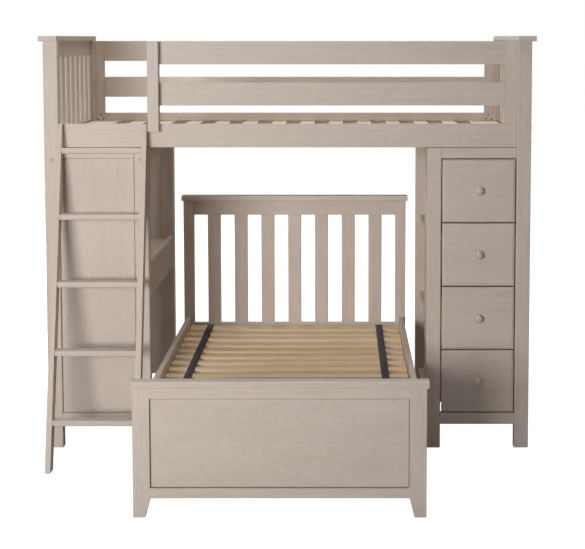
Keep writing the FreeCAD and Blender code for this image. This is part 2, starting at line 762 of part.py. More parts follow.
def knob(name, x, z):
    """A turned knob with a neck and a spigot that goes through the drawer front."""
    centre_y = f"{FRONT} - knob_stand + knob_thick / 2"
    head = doc.addObject("Part::Ellipsoid", name + "_head")
    head.Placement = FreeCAD.Placement(FreeCAD.Vector(), FreeCAD.Rotation(Z_AXIS, Y_AXIS))
    bind(head, "Radius1", "knob_thick / 2")
    bind(head, "Radius2", "knob_diameter / 2")
    bind(head, "Radius3", "knob_diameter / 2")
    place(head, (x, centre_y, z))
    neck = rod(name + "_neck", "knob_neck_diameter", "knob_stand - knob_thick / 2", "y", (x, centre_y, z))
    spigot = rod(name + "_spigot", "knob_spigot_diameter", "drawer_front_thick", "y", (x, FRONT, z))
    return fused(name, fused(name + "_turning", head, neck), spigot)


def bevelled_front(wide, tall, corner):
    """A drawer front whose face falls away in a wide, shallow bevel along its four edges."""
    face = doc.addObject("Part::Wedge", "drawer_face_bevel")
    for prop, formula in (
        ("Xmin", "drawer_bevel_width"), ("Xmax", f"{wide} - drawer_bevel_width"),
        ("Zmin", "drawer_bevel_width"), ("Zmax", f"{tall} - drawer_bevel_width"),
        ("X2min", "0"), ("X2max", wide),
        ("Z2min", "0"), ("Z2max", tall),
        ("Ymin", "0"), ("Ymax", "drawer_bevel_depth"),
    ):
        bind(face, prop, formula)
    place(face, corner)
    x, y, z = corner
    body = plain_block("drawer_face_body", (wide, "drawer_front_thick - drawer_bevel_depth", tall),
                       (x, f"{y} + drawer_bevel_depth", z))
    return fused("drawer_bevelled", face, body)


def drawers():
    """Four inset drawers on wooden runners, numbered from the top."""
    opening_x = f"{CHEST} + unit_stile_width"
    opening = f"({UNIT_WIDTH} - unit_stile_width - post_width)"
    floor = "unit_kick + unit_bottom_rail_height"
    clear = f"({UNIT_HEIGHT} - unit_top_rail_height - ({floor}))"
    tall = f"({clear} - (drawer_count + 1) * drawer_gap) / drawer_count"
    box_x = f"{opening_x} + drawer_box_gap"
    box_wide = f"{opening} - 2 * drawer_box_gap"
    box_tall = f"{tall} - drawer_box_rise - drawer_box_headroom"
    back_of_front = f"{FRONT} + drawer_front_thick"
    inner_x = f"{box_x} + drawer_side_thick"
    inner_wide = f"{box_wide} - 2 * drawer_side_thick"
    runners = []
    for number in range(1, count("drawer_count") + 1):
        steps_up = count("drawer_count") - number
        z = f"{floor} + drawer_gap + {steps_up} * ({tall} + drawer_gap)"
        wide = f"{opening} - 2 * drawer_gap"
        bevelled = bevelled_front(wide, tall, (f"{opening_x} + drawer_gap", FRONT, z))
        middle_x = f"{opening_x} + {opening} / 2"
        middle_z = f"{z} + {tall} / 2"
        hole = rod("knob_hole", "knob_spigot_diameter + 2 * knob_spigot_gap",
                   "drawer_front_thick + 2 * cut_overrun", "y",
                   (middle_x, f"{FRONT} - cut_overrun", middle_z))
        keep(cut("drawer_face", bevelled, [hole]), f"drawer_front_{number}")
        keep(knob("drawer_pull", middle_x, middle_z), f"drawer_knob_{number}")
        box_z = f"{z} + drawer_box_rise"
        side_size = ("drawer_side_thick", "drawer_box_depth", box_tall)
        walls = [plain_block("drawer_side", side_size, (x, back_of_front, box_z))
                 for x in (box_x, f"{box_x} + {box_wide} - drawer_side_thick")]
        back_y = f"{back_of_front} + drawer_box_depth - drawer_side_thick"
        walls.append(plain_block("drawer_back", (inner_wide, "drawer_side_thick", box_tall),
                                 (inner_x, back_y, box_z)))
        bottom_size = (inner_wide, "drawer_box_depth - drawer_side_thick", "drawer_bottom_thick")
        walls.append(plain_block("drawer_bottom", bottom_size,
                                 (inner_x, back_of_front, f"{box_z} + drawer_bottom_thick")))
        keep(group("drawer_case", walls), f"drawer_box_{number}")
        runner_z = f"{box_z} - runner_gap - runner_height"
        runner_y = f"{FRONT} + post_width"
        runner_deep = "chest_depth - post_width"
        reach = "drawer_box_gap + runner_bite"
        wall = "side_recess - board_thick"
        for upright, runner_x in (("unit_stile_width", f"{CHEST} + side_recess + board_thick"),
                                  ("post_width", f"{RIGHT} - post_width - ({reach})")):
            size = (f"{upright} + {reach} - {wall}", runner_deep, "runner_height")
            runners.append(board("runner", size, (runner_x, runner_y, runner_z)))
    keep(group("runners", runners), "drawer_runners")


def bed_cap(name, y, z, thick):
    """A flat cap over the headboard or footboard, proud of it all round."""
    size = ("bed_width + 2 * bed_cap_overhang", "bed_post_depth + 2 * bed_cap_overhang", thick)
    corner = ("-bed_width / 2 - bed_cap_overhang", f"{y} - bed_cap_overhang", z)
    return board(name, size, corner, "cap_round")


def headboard():
    """Posts, cap, rails and upright slats at the head of the lower bed."""
    y = f"{BED_BACK} - bed_post_depth"
    post_size = ("head_post_width", "bed_post_depth", "head_height")
    posts = [board("head_post", post_size, (x, y, "0"), "edge_round", "z")
             for x in ("-bed_width / 2", "bed_width / 2 - head_post_width")]
    keep(group("head_posts", posts), "headboard_posts")
    keep(bed_cap("head_cap", y, "head_height", "head_cap_thick"), "headboard_cap")
    start = "-bed_width / 2 + head_post_width"
    span = "(bed_width - 2 * head_post_width)"
    rail_y = f"{y} + (bed_post_depth - rail_thick) / 2"
    rails = [
        board("head_rail", (span, "rail_thick", tall), (start, rail_y, z))
        for tall, z in (("head_top_rail_height", "head_height - head_top_rail_height"),
                        ("head_bottom_rail_height", "head_bottom_rail_top - head_bottom_rail_height"))
    ]
    keep(group("head_rails", rails), "headboard_rails")
    gap = f"({span} - head_slat_count * head_slat_width) / (head_slat_count + 1)"
    slat_y = f"{y} + (bed_post_depth - end_slat_thick) / 2"
    slat_height = "head_height - head_top_rail_height - head_bottom_rail_top"
    slat_size = ("head_slat_width", "end_slat_thick", slat_height)
    slats = [
        board("head_slat", slat_size,
              (f"{start} + {gap} + {index} * (head_slat_width + {gap})", slat_y, "head_bottom_rail_top"),
              "end_slat_round", "z")
        for index in range(count("head_slat_count"))
    ]
    keep(group("head_slats", slats), "headboard_slats")


def footboard():
    """Tapered legs, cap, rails and panel at the foot of the lower bed."""
    outline = [
        ("0", "0"),
        ("foot_leg_toe_width", "0"),
        ("foot_leg_width", "foot_clearance"),
        ("foot_leg_width", "foot_height"),
        ("0", "foot_height"),
    ]
    mirrored = [(f"-({across})", along) for across, along in outline]
    legs = []
    for name, points, x in (("foot_leg_left", outline, "-bed_width / 2"),
                            ("foot_leg_right", mirrored, "bed_width / 2")):
        leg = outlined(name, "XZ_Plane", points, "bed_post_depth", (x, BED_FRONT, "0"), True)
        outer = value("bed_width") / 2 - value("edge_round")
        radii = {number: "edge_round" for number, edge in enumerate(leg.Shape.Edges, start=1)
                 if edge.BoundBox.ZLength > value("foot_clearance") and abs(edge.BoundBox.Center.x) > outer}
        legs.append(eased(name + "_eased", leg, radii))
    keep(group("foot_legs", legs), "footboard_legs")
    keep(bed_cap("foot_cap", BED_FRONT, "foot_height", "foot_cap_thick"), "footboard_cap")
    start = "-bed_width / 2 + foot_leg_width"
    span = "bed_width - 2 * foot_leg_width"
    rails = [
        board("foot_rail", (span, "rail_thick", tall), (start, f"{BED_FRONT} + foot_rail_recess", z),
              "edge_round", "x")
        for tall, z in (("foot_top_rail_height", "foot_height - foot_top_rail_height"),
                        ("foot_bottom_rail_height", "foot_clearance"))
    ]
    keep(group("foot_rails", rails), "footboard_rails")
    panel_z = "foot_clearance + foot_bottom_rail_height"
    panel_height = f"foot_height - foot_top_rail_height - ({panel_z})"
    panel_corner = (start, f"{BED_FRONT} + foot_panel_recess", panel_z)
    keep(grooved_panel("foot_panel", "front", span, panel_height, panel_corner), "footboard_panel")


def lower_side_rails():
    """The two long rails of the lower bed, between headboard and footboard."""
    start = f"{BED_FRONT} + bed_post_depth"
    size = ("side_rail_thick", f"{BED_BACK} - bed_post_depth - ({start})", "lower_rail_height")
    rails = [
        board("bed_side_rail", size, (x, start, "lower_rail_top - lower_rail_height"))
        for x in ("-bed_width / 2 + side_rail_inset", "bed_width / 2 - side_rail_inset - side_rail_thick")
    ]
    keep(group("bed_side_rails", rails), "lower_side_rails")


def ladder():
    """Raked rails cut upright against the desk unit, with flat treads between them."""
    tip = f"({RAIL_TOP})"
    slope = f"((ladder_reach - ladder_tip_depth) / {tip})"
    outline = [
        ("-ladder_reach", "0"),
        ("-ladder_reach + ladder_rail_depth", "0"),
        ("0", f"(ladder_reach - ladder_rail_depth) / {slope}"),
        ("0", tip),
        ("-ladder_tip_depth", tip),
    ]
    left_x = f"{LEFT} + ladder_left_inset"
    wide = f"({UNIT_WIDTH} - ladder_left_inset - ladder_right_inset)"
    rails = []
    for name, x in (("ladder_rail_left", left_x),
                    ("ladder_rail_right", f"{left_x} + {wide} - ladder_rail_thick")):
        rail = outlined(name, "YZ_Plane", outline, "ladder_rail_thick", (x, FRONT, "0"))
        box = rail.Shape.BoundBox
        near = value("edge_round")
        nose = {
            number: "ladder_tip_round" for number, edge in enumerate(rail.Shape.Edges, start=1)
            if edge.BoundBox.ZMin > box.ZMax - near and edge.BoundBox.YMax < box.YMax - near
        }
        rails.append(eased(name + "_eased", rail, nose))
    keep(group("rails_of_ladder", rails), "ladder_rails")
    treads = []
    pitch = f"({tip} - tread_top_drop - tread_first_height) / (tread_count - 1)"
    for index in range(count("tread_count")):
        top = f"(tread_first_height + {index} * {pitch})"
        to_wall = f"(ladder_reach - {slope} * {top} - tread_setback)"
        size = (f"{wide} - 2 * ladder_rail_thick", f"min(tread_depth; {to_wall})", "tread_thick")
        corner = (f"{left_x} + ladder_rail_thick", f"{FRONT} - {to_wall}", f"{top} - tread_thick")
        treads.append(board("tread", size, corner, "tread_round", "x"))
    keep(group("treads", treads), "ladder_treads")


def build():
    """Make every piece, check it, and write one file for each node."""
    corner_posts()
    end_panels()
    long_rails()
    bed_bolts()
    guards()
    corner_plates()
    upper = upper_platform()
    lower = lower_platform()
    keep(group("cleats", upper[0] + lower[0]), "slat_cleats")
    keep(group("straps", upper[1] + lower[1]), "slat_straps")
    desk_unit()
    chest_unit()
    drawers()
    headboard()
    footboard()
    lower_side_rails()
    ladder()
    doc.recompute()
    for thing in doc.Objects:
        if "Invalid" in thing.State or "Error" in thing.State:
            raise RuntimeError(f"{thing.Label} failed: {thing.State}")
    for node in nodes:
        if node.Shape.isNull() or not node.Shape.isValid() or not node.Shape.Solids:
            raise RuntimeError(f"{node.Label} has no valid solid")
    os.makedirs("parts", exist_ok=True)
    for node in nodes:
        node.Shape.exportStep(os.path.join("parts", node.Label + ".step"))
    print(len(nodes), "nodes,", sum(len(node.Shape.Solids) for node in nodes), "solids")


build()
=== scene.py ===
"""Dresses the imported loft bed: timber finishes, webbing, fasteners, light and camera."""

from __future__ import annotations

import logging
import math
from dataclasses import dataclass, replace
from enum import Enum
from typing import Any, Mapping, Sequence

import bmesh
import bpy
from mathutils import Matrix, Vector

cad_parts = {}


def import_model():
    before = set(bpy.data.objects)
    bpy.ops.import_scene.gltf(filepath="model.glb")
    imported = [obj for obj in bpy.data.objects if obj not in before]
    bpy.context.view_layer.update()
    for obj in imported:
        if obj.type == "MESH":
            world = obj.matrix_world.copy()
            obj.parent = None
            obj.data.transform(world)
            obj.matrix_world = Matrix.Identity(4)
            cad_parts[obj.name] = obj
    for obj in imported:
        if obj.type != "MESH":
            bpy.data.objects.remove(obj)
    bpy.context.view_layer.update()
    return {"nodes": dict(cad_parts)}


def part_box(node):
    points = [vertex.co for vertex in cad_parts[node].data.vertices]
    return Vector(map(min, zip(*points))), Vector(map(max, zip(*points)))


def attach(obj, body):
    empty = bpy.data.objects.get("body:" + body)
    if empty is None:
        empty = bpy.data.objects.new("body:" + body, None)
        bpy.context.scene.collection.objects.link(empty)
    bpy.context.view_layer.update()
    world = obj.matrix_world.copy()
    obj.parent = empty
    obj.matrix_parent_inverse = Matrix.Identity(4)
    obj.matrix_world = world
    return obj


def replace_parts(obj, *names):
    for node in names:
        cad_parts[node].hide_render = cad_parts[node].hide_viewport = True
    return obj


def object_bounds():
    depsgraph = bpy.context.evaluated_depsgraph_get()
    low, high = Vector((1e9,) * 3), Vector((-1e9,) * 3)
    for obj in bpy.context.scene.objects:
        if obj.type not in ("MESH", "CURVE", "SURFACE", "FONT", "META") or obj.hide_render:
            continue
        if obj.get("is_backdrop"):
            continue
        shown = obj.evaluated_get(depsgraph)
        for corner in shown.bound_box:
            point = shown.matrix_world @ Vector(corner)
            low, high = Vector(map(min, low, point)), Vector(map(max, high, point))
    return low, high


LOG = logging.getLogger("loft_bed")
MM = 0.001
PLACE_DIGITS = 5
FRAME_BODY = "frame"
WHITE = "#FFFFFF"

Tree = bpy.types.NodeTree
Socket = bpy.types.NodeSocket
Material = bpy.types.Material
Piece = bpy.types.Object
Colour = tuple[float, float, float, float]
Triple = tuple[float, float, float]
Span = tuple[float, float]
Box = tuple[Vector, Vector]
WHOLE: Span = (0.0, 1.0)

# A Mix node for colours. Its sockets have the same names for each data type, so they go by number:
# the share is 0, the colours are 6 and 7, and the result is 2.
COLOUR_MIX = {"data_type": "RGBA"}


def linear(code: str) -> Colour:
    """Turns an sRGB hex value into linear colour, by the standard's own curve.

    Args:
        code: six hex digits after a hash sign.

    Returns:
        Linear red, green and blue, and an alpha of one.
    """
    shares = [int(code[at:at + 2], 16) / 255 for at in (1, 3, 5)]
    red, green, blue = (
        share / 12.92 if share <= 0.04045 else ((share + 0.055) / 1.055) ** 2.4 for share in shares
    )
    return red, green, blue, 1.0


def add_node(
    tree: Tree,
    kind: str,
    settings: Mapping[str, Any] | None = None,
    inputs: Mapping[str | int, Any] | None = None,
) -> bpy.types.Node:
    """Adds one node to a tree.

    Args:
        tree: the tree that takes the node.
        kind: the node's type name.
        settings: properties of the node itself.
        inputs: for each input, by name or number, a socket to link or a value to set.

    Returns:
        The new node.
    """
    node = tree.nodes.new(kind)
    for name, setting in (settings or {}).items():
        setattr(node, name, setting)
    for name, source in (inputs or {}).items():
        if isinstance(source, Socket):
            tree.links.new(source, node.inputs[name])
        else:
            node.inputs[name].default_value = source
    return node


def shader_tree(name: str) -> tuple[Material, Tree]:
    """Makes an empty node material.

    Args:
        name: the material's name.

    Returns:
        The material and its cleared node tree.
    """
    material = bpy.data.materials.new(name)
    material.use_nodes = True
    material.node_tree.nodes.clear()
    return material, material.node_tree


def limits(before: Span, after: Span = WHOLE) -> dict[str, float]:
    """Names the ends of a range that is read and of the range that it becomes."""
    return dict(zip(("From Min", "From Max", "To Min", "To Max"), (*before, *after)))


class Grain(Enum):
    """The axis along which a board's fibres run."""

    ACROSS = 0
    DEEP = 1
    UPRIGHT = 2

    def stretched(self, factor: float) -> Triple:
        """Gives the cell of a pattern that is longer along the fibres by a factor."""
        return tuple(factor if axis == self.value else 1.0 for axis in range(3))


@dataclass(frozen=True)
class Lay:
    """How boards are cut for one group of pieces.

    Attributes:
        grain: the axis of the fibres.
        rake: how far the fibres lean to the back from upright, in radians.
        board_axis: for a row of boards in one node, the axis along which they follow each other.
        board_pitch: the spacing of that row, in metres.
        board_start: where the row's first cell starts, in metres.
        edge_wear_and_highlight: whether the rounded edges turn paler, partly for wear of the wash and
            partly as a painted highlight.
    """

    grain: Grain
    rake: float = 0.0
    board_axis: int = 0
    board_pitch: float = 0.0
    board_start: float = 0.0
    edge_wear_and_highlight: bool = True


@dataclass(frozen=True)
class TimberFinish:
    """A timber surface with fibres, streaks, a broad figure and pores.

    Attributes:
        title: what the finish is called.
        pale: colour of the lightest streaks.
        deep: colour of the darkest streaks.
        pore: colour that settles in the pores.
        wear_and_highlight_edge: paler colour along rounded edges, partly wear of the wash and partly a
            painted highlight.
        figure_mm: width of the broad bands.
        streak_mm: width of the streaks.
        fibre_mm: width of the fibres, drawn coarser than real ones so that they show.
        pore_mm: width of the pores, drawn coarser than real ones so that they show.
        board_spread: how much single boards differ in brightness.
        roughness: lowest and highest roughness.
        relief_mm: depth of the brushed relief.
        fibre_stretch: length of a fibre in widths.
        fibre_wander: how much the fibres wave.
        pore_stretch: length of a pore in widths.
        pore_share: how much of its colour a pore shows.
        patch_mm: width of the paler patches.
    """

    title: str
    pale: str
    deep: str
    pore: str
    wear_and_highlight_edge: str
    figure_mm: float
    streak_mm: float
    fibre_mm: float
    pore_mm: float
    board_spread: float
    roughness: Span
    relief_mm: float
    fibre_stretch: float = 40.0
    fibre_wander: float = 0.0
    pore_stretch: float = 9.0
    pore_share: float = 0.30
    patch_mm: float = 210.0

    # Detail and wander of each noise; a fibre's wander is a field.
    FIGURE_NOISE = (2.0, 0.5)
    STREAK_NOISE = (4.0, 0.15)
    FIBRE_DETAIL = 2.0
    PORE_NOISE = (1.0, 0.0)
    PATCH_NOISE = (2.0, 0.0)

    # How much streaks, figure and fibres count in the tone, and which part of each range is drawn.
    TONE_SHARES = (0.35, 0.25, 0.40)
    TONE_RANGE = (0.34, 0.66)
    PORE_RANGE = (0.56, 0.72)
    PATCH_RANGE = (0.5, 0.72)
    PATCH_SHARES = (0.0, 0.20)

    # How much streaks, fibres and pores count in the brushed relief, and the lacquer over it.
    RELIEF_SHARES = (0.5, 0.5, -1.0)
    BUMP_STRENGTH = 0.4
    GLOSS_RANGE = (0.35, 0.65)
    LACQUER_IOR = 1.48

    # Wear and a painted highlight on rounded edges: the normal's largest part falls off where a surface
    # turns.
    TURN_RANGE = (0.76, 0.93)
    WEAR_AND_HIGHLIGHT_SHARES = (0.55, 0.0)
    UNEVEN_RANGE = (0.35, 0.6)
    UNEVEN_SHARES = (0.35, 1.0)

    # A cell that holds the whole bed, in metres, for the axes along which boards aren't counted.
    BROAD_CELL = 1000.0

    def material(self, name: str, lay: Lay) -> Material:
        """Builds the finish for boards that lie one way.

        Args:
            name: the material's name.
            lay: how the boards are cut.

        Returns:
            The finished material.
        """
        material, tree = shader_tree(name)
        place = add_node(tree, "ShaderNodeTexCoord")
        spot, turn = place.outputs["Object"], (-lay.rake, 0.0, 0.0)
        along, dotted = (
            add_node(
                tree, "ShaderNodeMapping", {"vector_type": "TEXTURE"},
                {"Vector": spot, "Rotation": turn, "Scale": lay.grain.stretched(factor)},
            ).outputs["Vector"]
            for factor in (self.fibre_stretch, self.pore_stretch)
        )
        figure, streak, fibre, dots, patch = (
            add_node(
                tree, "ShaderNodeTexNoise", None,
                {"Vector": where, "Scale": 1.0 / (width * MM), "Detail": detail, "Distortion": wander},
            ).outputs["Fac"]
            for where, width, (detail, wander) in (
                (along, self.figure_mm, self.FIGURE_NOISE),
                (along, self.streak_mm, self.STREAK_NOISE),
                (along, self.fibre_mm, (self.FIBRE_DETAIL, self.fibre_wander)),
                (dotted, self.pore_mm, self.PORE_NOISE),
                (spot, self.patch_mm, self.PATCH_NOISE),
            )
        )
        tone = self._layered(tree, (streak, figure, fibre), self.TONE_SHARES)
        pore = add_node(
            tree, "ShaderNodeMapRange", None, {"Value": dots, **limits(self.PORE_RANGE)}
        ).outputs["Result"]

        colour: Any = linear(self.deep)
        for layer, drawn, shares, over in (
            (tone, self.TONE_RANGE, WHOLE, self.pale),
            (pore, WHOLE, (0.0, self.pore_share), self.pore),
            (patch, self.PATCH_RANGE, self.PATCH_SHARES, self.pale),
        ):
            share = add_node(tree, "ShaderNodeMapRange", None, {"Value": layer, **limits(drawn, shares)})
            colour = add_node(
                tree, "ShaderNodeMix", COLOUR_MIX,
                {0: share.outputs["Result"], 6: colour, 7: linear(over)},
            ).outputs[2]
        if lay.board_pitch:
            colour = self._by_board(tree, spot, lay, colour)
        # Rounded edges are painted paler: partly wear of the wash, partly a painted highlight.
        if lay.edge_wear_and_highlight:
            colour = self._paint_wear_and_highlight(tree, place.outputs["Normal"], turn, streak, colour)

        relief = self._layered(tree, (streak, fibre, pore), self.RELIEF_SHARES)
        bump = add_node(
            tree, "ShaderNodeBump", None,
            {"Height": relief, "Strength": self.BUMP_STRENGTH, "Distance": self.relief_mm * MM},
        )
        gloss = add_node(
            tree, "ShaderNodeMapRange", None,
            {"Value": tone, **limits(self.GLOSS_RANGE, self.roughness)},
        )
        shader = add_node(
            tree, "ShaderNodeBsdfPrincipled", None,
            {
                "Base Color": colour,
                "Roughness": gloss.outputs["Result"],
                "Normal": bump.outputs["Normal"],
                "IOR": self.LACQUER_IOR,
            },
        )
        add_node(tree, "ShaderNodeOutputMaterial", None, {"Surface": shader.outputs["BSDF"]})
        return material

    @staticmethod
    def _layered(tree: Tree, layers: Sequence[Socket], shares: Sequence[float]) -> Socket:
        """Adds up layers of the pattern.

        Args:
            tree: the tree that takes the nodes.
            layers: the value of each layer.
            shares: how much each layer counts.

        Returns:
            The socket with the sum.
        """
        total: Any = 0.0
        for layer, share in zip(layers, shares):
            total = add_node(
                tree, "ShaderNodeMath", {"operation": "MULTIPLY_ADD"}, {0: layer, 1: share, 2: total}
            ).outputs[0]
        return total

    def _by_board(self, tree: Tree, place: Socket, lay: Lay, colour: Socket) -> Socket:
        """Gives each board of a row its own brightness.

        Args:
            tree: the tree that takes the nodes.
            place: where a point of the board is.
            lay: how the boards are cut.
            colour: the colour that all boards share.

        Returns:
            The socket with the new colour.
        """
        cell = [self.BROAD_CELL] * 3
        start = [self.BROAD_CELL / 2] * 3
        cell[lay.board_axis], start[lay.board_axis] = lay.board_pitch, lay.board_start
        counted = add_node(
            tree, "ShaderNodeMapping", {"vector_type": "TEXTURE"},
            {"Vector": place, "Location": start, "Scale": cell},
        )
        number = add_node(
            tree, "ShaderNodeVectorMath", {"operation": "FLOOR"}, {0: counted.outputs["Vector"]}
        )
        dice = add_node(
            tree, "ShaderNodeTexWhiteNoise", {"noise_dimensions": "3D"}, {"Vector": number.outputs[0]}
        )
        spread = (1.0 - self.board_spread, 1.0 + self.board_spread / 2)
        own = add_node(
            tree, "ShaderNodeMapRange", None, {"Value": dice.outputs["Value"], **limits(WHOLE, spread)}
        )
        return add_node(
            tree, "ShaderNodeMix", {**COLOUR_MIX, "blend_type": "MULTIPLY"},
            {0: 1.0, 6: colour, 7: own.outputs["Result"]},
        ).outputs[2]

    def _paint_wear_and_highlight(
        self, tree: Tree, normal: Socket, turn: Triple, streak: Socket, colour: Socket
    ) -> Socket:
        """Paints a paler colour where a surface turns between two flat faces: partly wear of the wash,
        partly a painted highlight on the rounded edge.

        Args:
            tree: the tree that takes the nodes.
            normal: the surface's direction.
            turn: how the board is turned.
            streak: the streaks, which leave the paler edges uneven.
            colour: the colour without the wear and the painted highlight.

        Returns:
            The socket with the new colour.
        """
        square = add_node(
            tree, "ShaderNodeMapping", {"vector_type": "TEXTURE"}, {"Vector": normal, "Rotation": turn}
        )
        sizes = add_node(
            tree, "ShaderNodeVectorMath", {"operation": "ABSOLUTE"}, {0: square.outputs["Vector"]}
        )
        parts = add_node(tree, "ShaderNodeSeparateXYZ", None, {"Vector": sizes.outputs[0]})
        largest = parts.outputs["X"]
        for part in ("Y", "Z"):
            largest = add_node(
                tree, "ShaderNodeMath", {"operation": "MAXIMUM"}, {0: largest, 1: parts.outputs[part]}
            ).outputs[0]
        edge, uneven = (
            add_node(
                tree, "ShaderNodeMapRange", None, {"Value": value, **limits(drawn, shares)}
            ).outputs["Result"]
            for value, drawn, shares in (
                (largest, self.TURN_RANGE, self.WEAR_AND_HIGHLIGHT_SHARES),
                (streak, self.UNEVEN_RANGE, self.UNEVEN_SHARES),
            )
        )
        wear_and_highlight = add_node(tree, "ShaderNodeMath", {"operation": "MULTIPLY"}, {0: edge, 1: uneven})
        return add_node(
            tree, "ShaderNodeMix", COLOUR_MIX,
            {0: wear_and_highlight.outputs[0], 6: colour, 7: linear(self.wear_and_highlight_edge)},
        ).outputs[2]


# Brushed hardwood under a stone-grey wash: the wash lies in the open grain, so pale and dark
# streaks a few millimetres wide run along each board, under a satin lacquer.
STONE_WASH = TimberFinish(
    title="stone_washed_wood", pale="#D3C5BA", deep="#C1B2A6", pore="#A59689", wear_and_highlight_edge="#DDD2C8",
    figure_mm=60.0, streak_mm=5.0, fibre_mm=2.6, pore_mm=2.6, board_spread=0.04,
    roughness=(0.46, 0.60), relief_mm=0.35,
)

# The panels are veneered with a rippled cut under the same wash: short wavy flecks instead of streaks.
RIPPLED_VENEER = replace(
    STONE_WASH, title="rippled_veneer", streak_mm=3.6, fibre_mm=3.4, fibre_stretch=7.0, fibre_wander=0.7
)

# The knobs are turned from the same wood and lacquered to a gloss, so each carries a small highlight.
TURNED_WOOD = replace(STONE_WASH, title="turned_wood", roughness=(0.12, 0.16), relief_mm=0.02)

# Planed softwood slats without lacquer: warm, matt, with wide early wood and narrow late wood.
BARE_SOFTWOOD = TimberFinish(
    title="bare_softwood", pale="#F7DFBD", deep="#E6C79E", pore="#CDAA80", wear_and_highlight_edge="#FAE6C9",
    figure_mm=24.0, streak_mm=6.0, fibre_mm=2.2, pore_mm=3.4, board_spread=0.12,
    roughness=(0.60, 0.74), relief_mm=0.25,
)

# The loft's slats are the same wood painted paler and greyer, a painted sheen for the light they catch
# at a grazing angle, so they look cream rather than yellow.
SHEEN_LIT_SOFTWOOD = replace(
    BARE_SOFTWOOD, title="pale_softwood",
    pale="#F0E1C9", deep="#DEC8A8", pore="#C6AD8B", wear_and_highlight_edge="#F4E8D5",
)


@dataclass(frozen=True)
class WebbingFinish:
    """Flat woven polyester webbing, dyed black: dull ribs across and a fine twill along.

    Attributes:
        dark: colour of the dips, where the black yarn is painted darker as shade.
        light: colour of the ribs, where the black yarn is painted paler as light falling on them.
        rib_mm: spacing of the ribs, drawn wider than real ones so that they show.
        yarn_mm: spacing of the yarns, drawn wider than real ones so that they show.
        relief_mm: height of the ribs.
        roughness: how dull the yarn is.
        sheen: how much its loose fibres catch the light.
    """

    dark: str = "#0C0C0D"
    light: str = "#222122"
    rib_mm: float = 3.2
    yarn_mm: float = 1.6
    relief_mm: float = 0.4
    roughness: float = 0.78
    sheen: float = 0.1

    # Blender's wave texture repeats at this length when its scale is one.
    WAVE_LENGTH = math.pi / 10.0
    BUMP_STRENGTH = 0.6

    def material(self, name: str, run: Grain) -> Material:
        """Builds the webbing for straps that run one way.

        Args:
            name: the material's name.
            run: the axis of the straps.

        Returns:
            The finished material.
        """
        material, tree = shader_tree(name)
        place = add_node(tree, "ShaderNodeTexCoord").outputs["Object"]
        along, across = ("X", "Y") if run is Grain.ACROSS else ("Y", "X")
        ribs, yarns = (
            add_node(
                tree, "ShaderNodeTexWave", {"bands_direction": axis, "wave_profile": "SIN"},
                {"Vector": place, "Scale": self.WAVE_LENGTH / (pitch * MM), "Distortion": 0.0},
            ).outputs["Fac"]
            for axis, pitch in ((along, self.rib_mm), (across, self.yarn_mm))
        )
        crossing = add_node(tree, "ShaderNodeMath", {"operation": "MULTIPLY"}, {0: ribs, 1: yarns})
        weave = crossing.outputs[0]
        # The dips are painted darker and the ribs paler: painted shade and light on the one black yarn.
        colour = add_node(
            tree, "ShaderNodeMix", COLOUR_MIX, {0: weave, 6: linear(self.dark), 7: linear(self.light)}
        )
        bump = add_node(
            tree, "ShaderNodeBump", None,
            {"Height": weave, "Strength": self.BUMP_STRENGTH, "Distance": self.relief_mm * MM},
        )
        shader = add_node(
            tree, "ShaderNodeBsdfPrincipled", None,
            {
                "Base Color": colour.outputs[2],
                "Roughness": self.roughness,
                "Sheen Weight": self.sheen,
                "Normal": bump.outputs["Normal"],
            },
        )
        add_node(tree, "ShaderNodeOutputMaterial", None, {"Surface": shader.outputs["BSDF"]})
        return material


@dataclass(frozen=True)
class SteelFinish:
    """Plated, lacquered or blackened steel: a soft gloss with a faint cloudy spangle.

    Attributes:
        bright: colour of the clear coat.
        dull: colour of the cloudy coat.
        roughness: lowest and highest roughness.
        metallic: one for bare plate, zero under opaque lacquer.
        cloud_mm: size of the clouds.
    """

    bright: str
    dull: str
    roughness: Span
    metallic: float = 1.0
    cloud_mm: float = 3.0

    CLOUD_DETAIL = 2.0
    CLOUD_RANGE = (0.3, 0.7)

    def material(self, name: str) -> Material:
        """Builds the metal.

        Args:
            name: the material's name.

        Returns:
            The finished material.
        """
        material, tree = shader_tree(name)
        place = add_node(tree, "ShaderNodeTexCoord").outputs["Object"]
        cloud = add_node(
            tree, "ShaderNodeTexNoise", None,
            {"Vector": place, "Scale": 1.0 / (self.cloud_mm * MM), "Detail": self.CLOUD_DETAIL},
        ).outputs["Fac"]
        colour = add_node(
            tree, "ShaderNodeMix", COLOUR_MIX, {0: cloud, 6: linear(self.dull), 7: linear(self.bright)}
        )
        gloss = add_node(
            tree, "ShaderNodeMapRange", None,
            {"Value": cloud, **limits(self.CLOUD_RANGE, self.roughness)},
        )
        shader = add_node(
            tree, "ShaderNodeBsdfPrincipled", None,
            {
                "Base Color": colour.outputs[2],
                "Metallic": self.metallic,
                "Roughness": gloss.outputs["Result"],
            },
        )
        add_node(tree, "ShaderNodeOutputMaterial", None, {"Surface": shader.outputs["BSDF"]})
        return material


# Zinc plate on the hidden barrel nuts: pale grey and a little cloudy.
ZINC_PLATE = SteelFinish(bright="#B3ABA1", dull="#8A8279", roughness=(0.34, 0.50))

# Domed bolt heads lacquered to match the wood: a small highlight on one side, shadow on the other.
LACQUERED_STEEL = SteelFinish(bright="#BFB1A5", dull="#AB9D91", roughness=(0.24, 0.32), metallic=0.0)

# Blackened wood screws and staples: dark specks with a dull gleam.
BLACKED_STEEL = SteelFinish(bright="#4A4642", dull="#2C2A28", roughness=(0.42, 0.58))


def centre(box: Box) -> Vector:
    """Gives the middle of a box."""
    return (box[0] + box[1]) / 2


def run_axis(box: Box) -> int:
    """Gives the level axis along which a long box runs, 0 for x or 1 for y."""
    size = box[1] - box[0]
    return 0 if size.x > size.y else 1


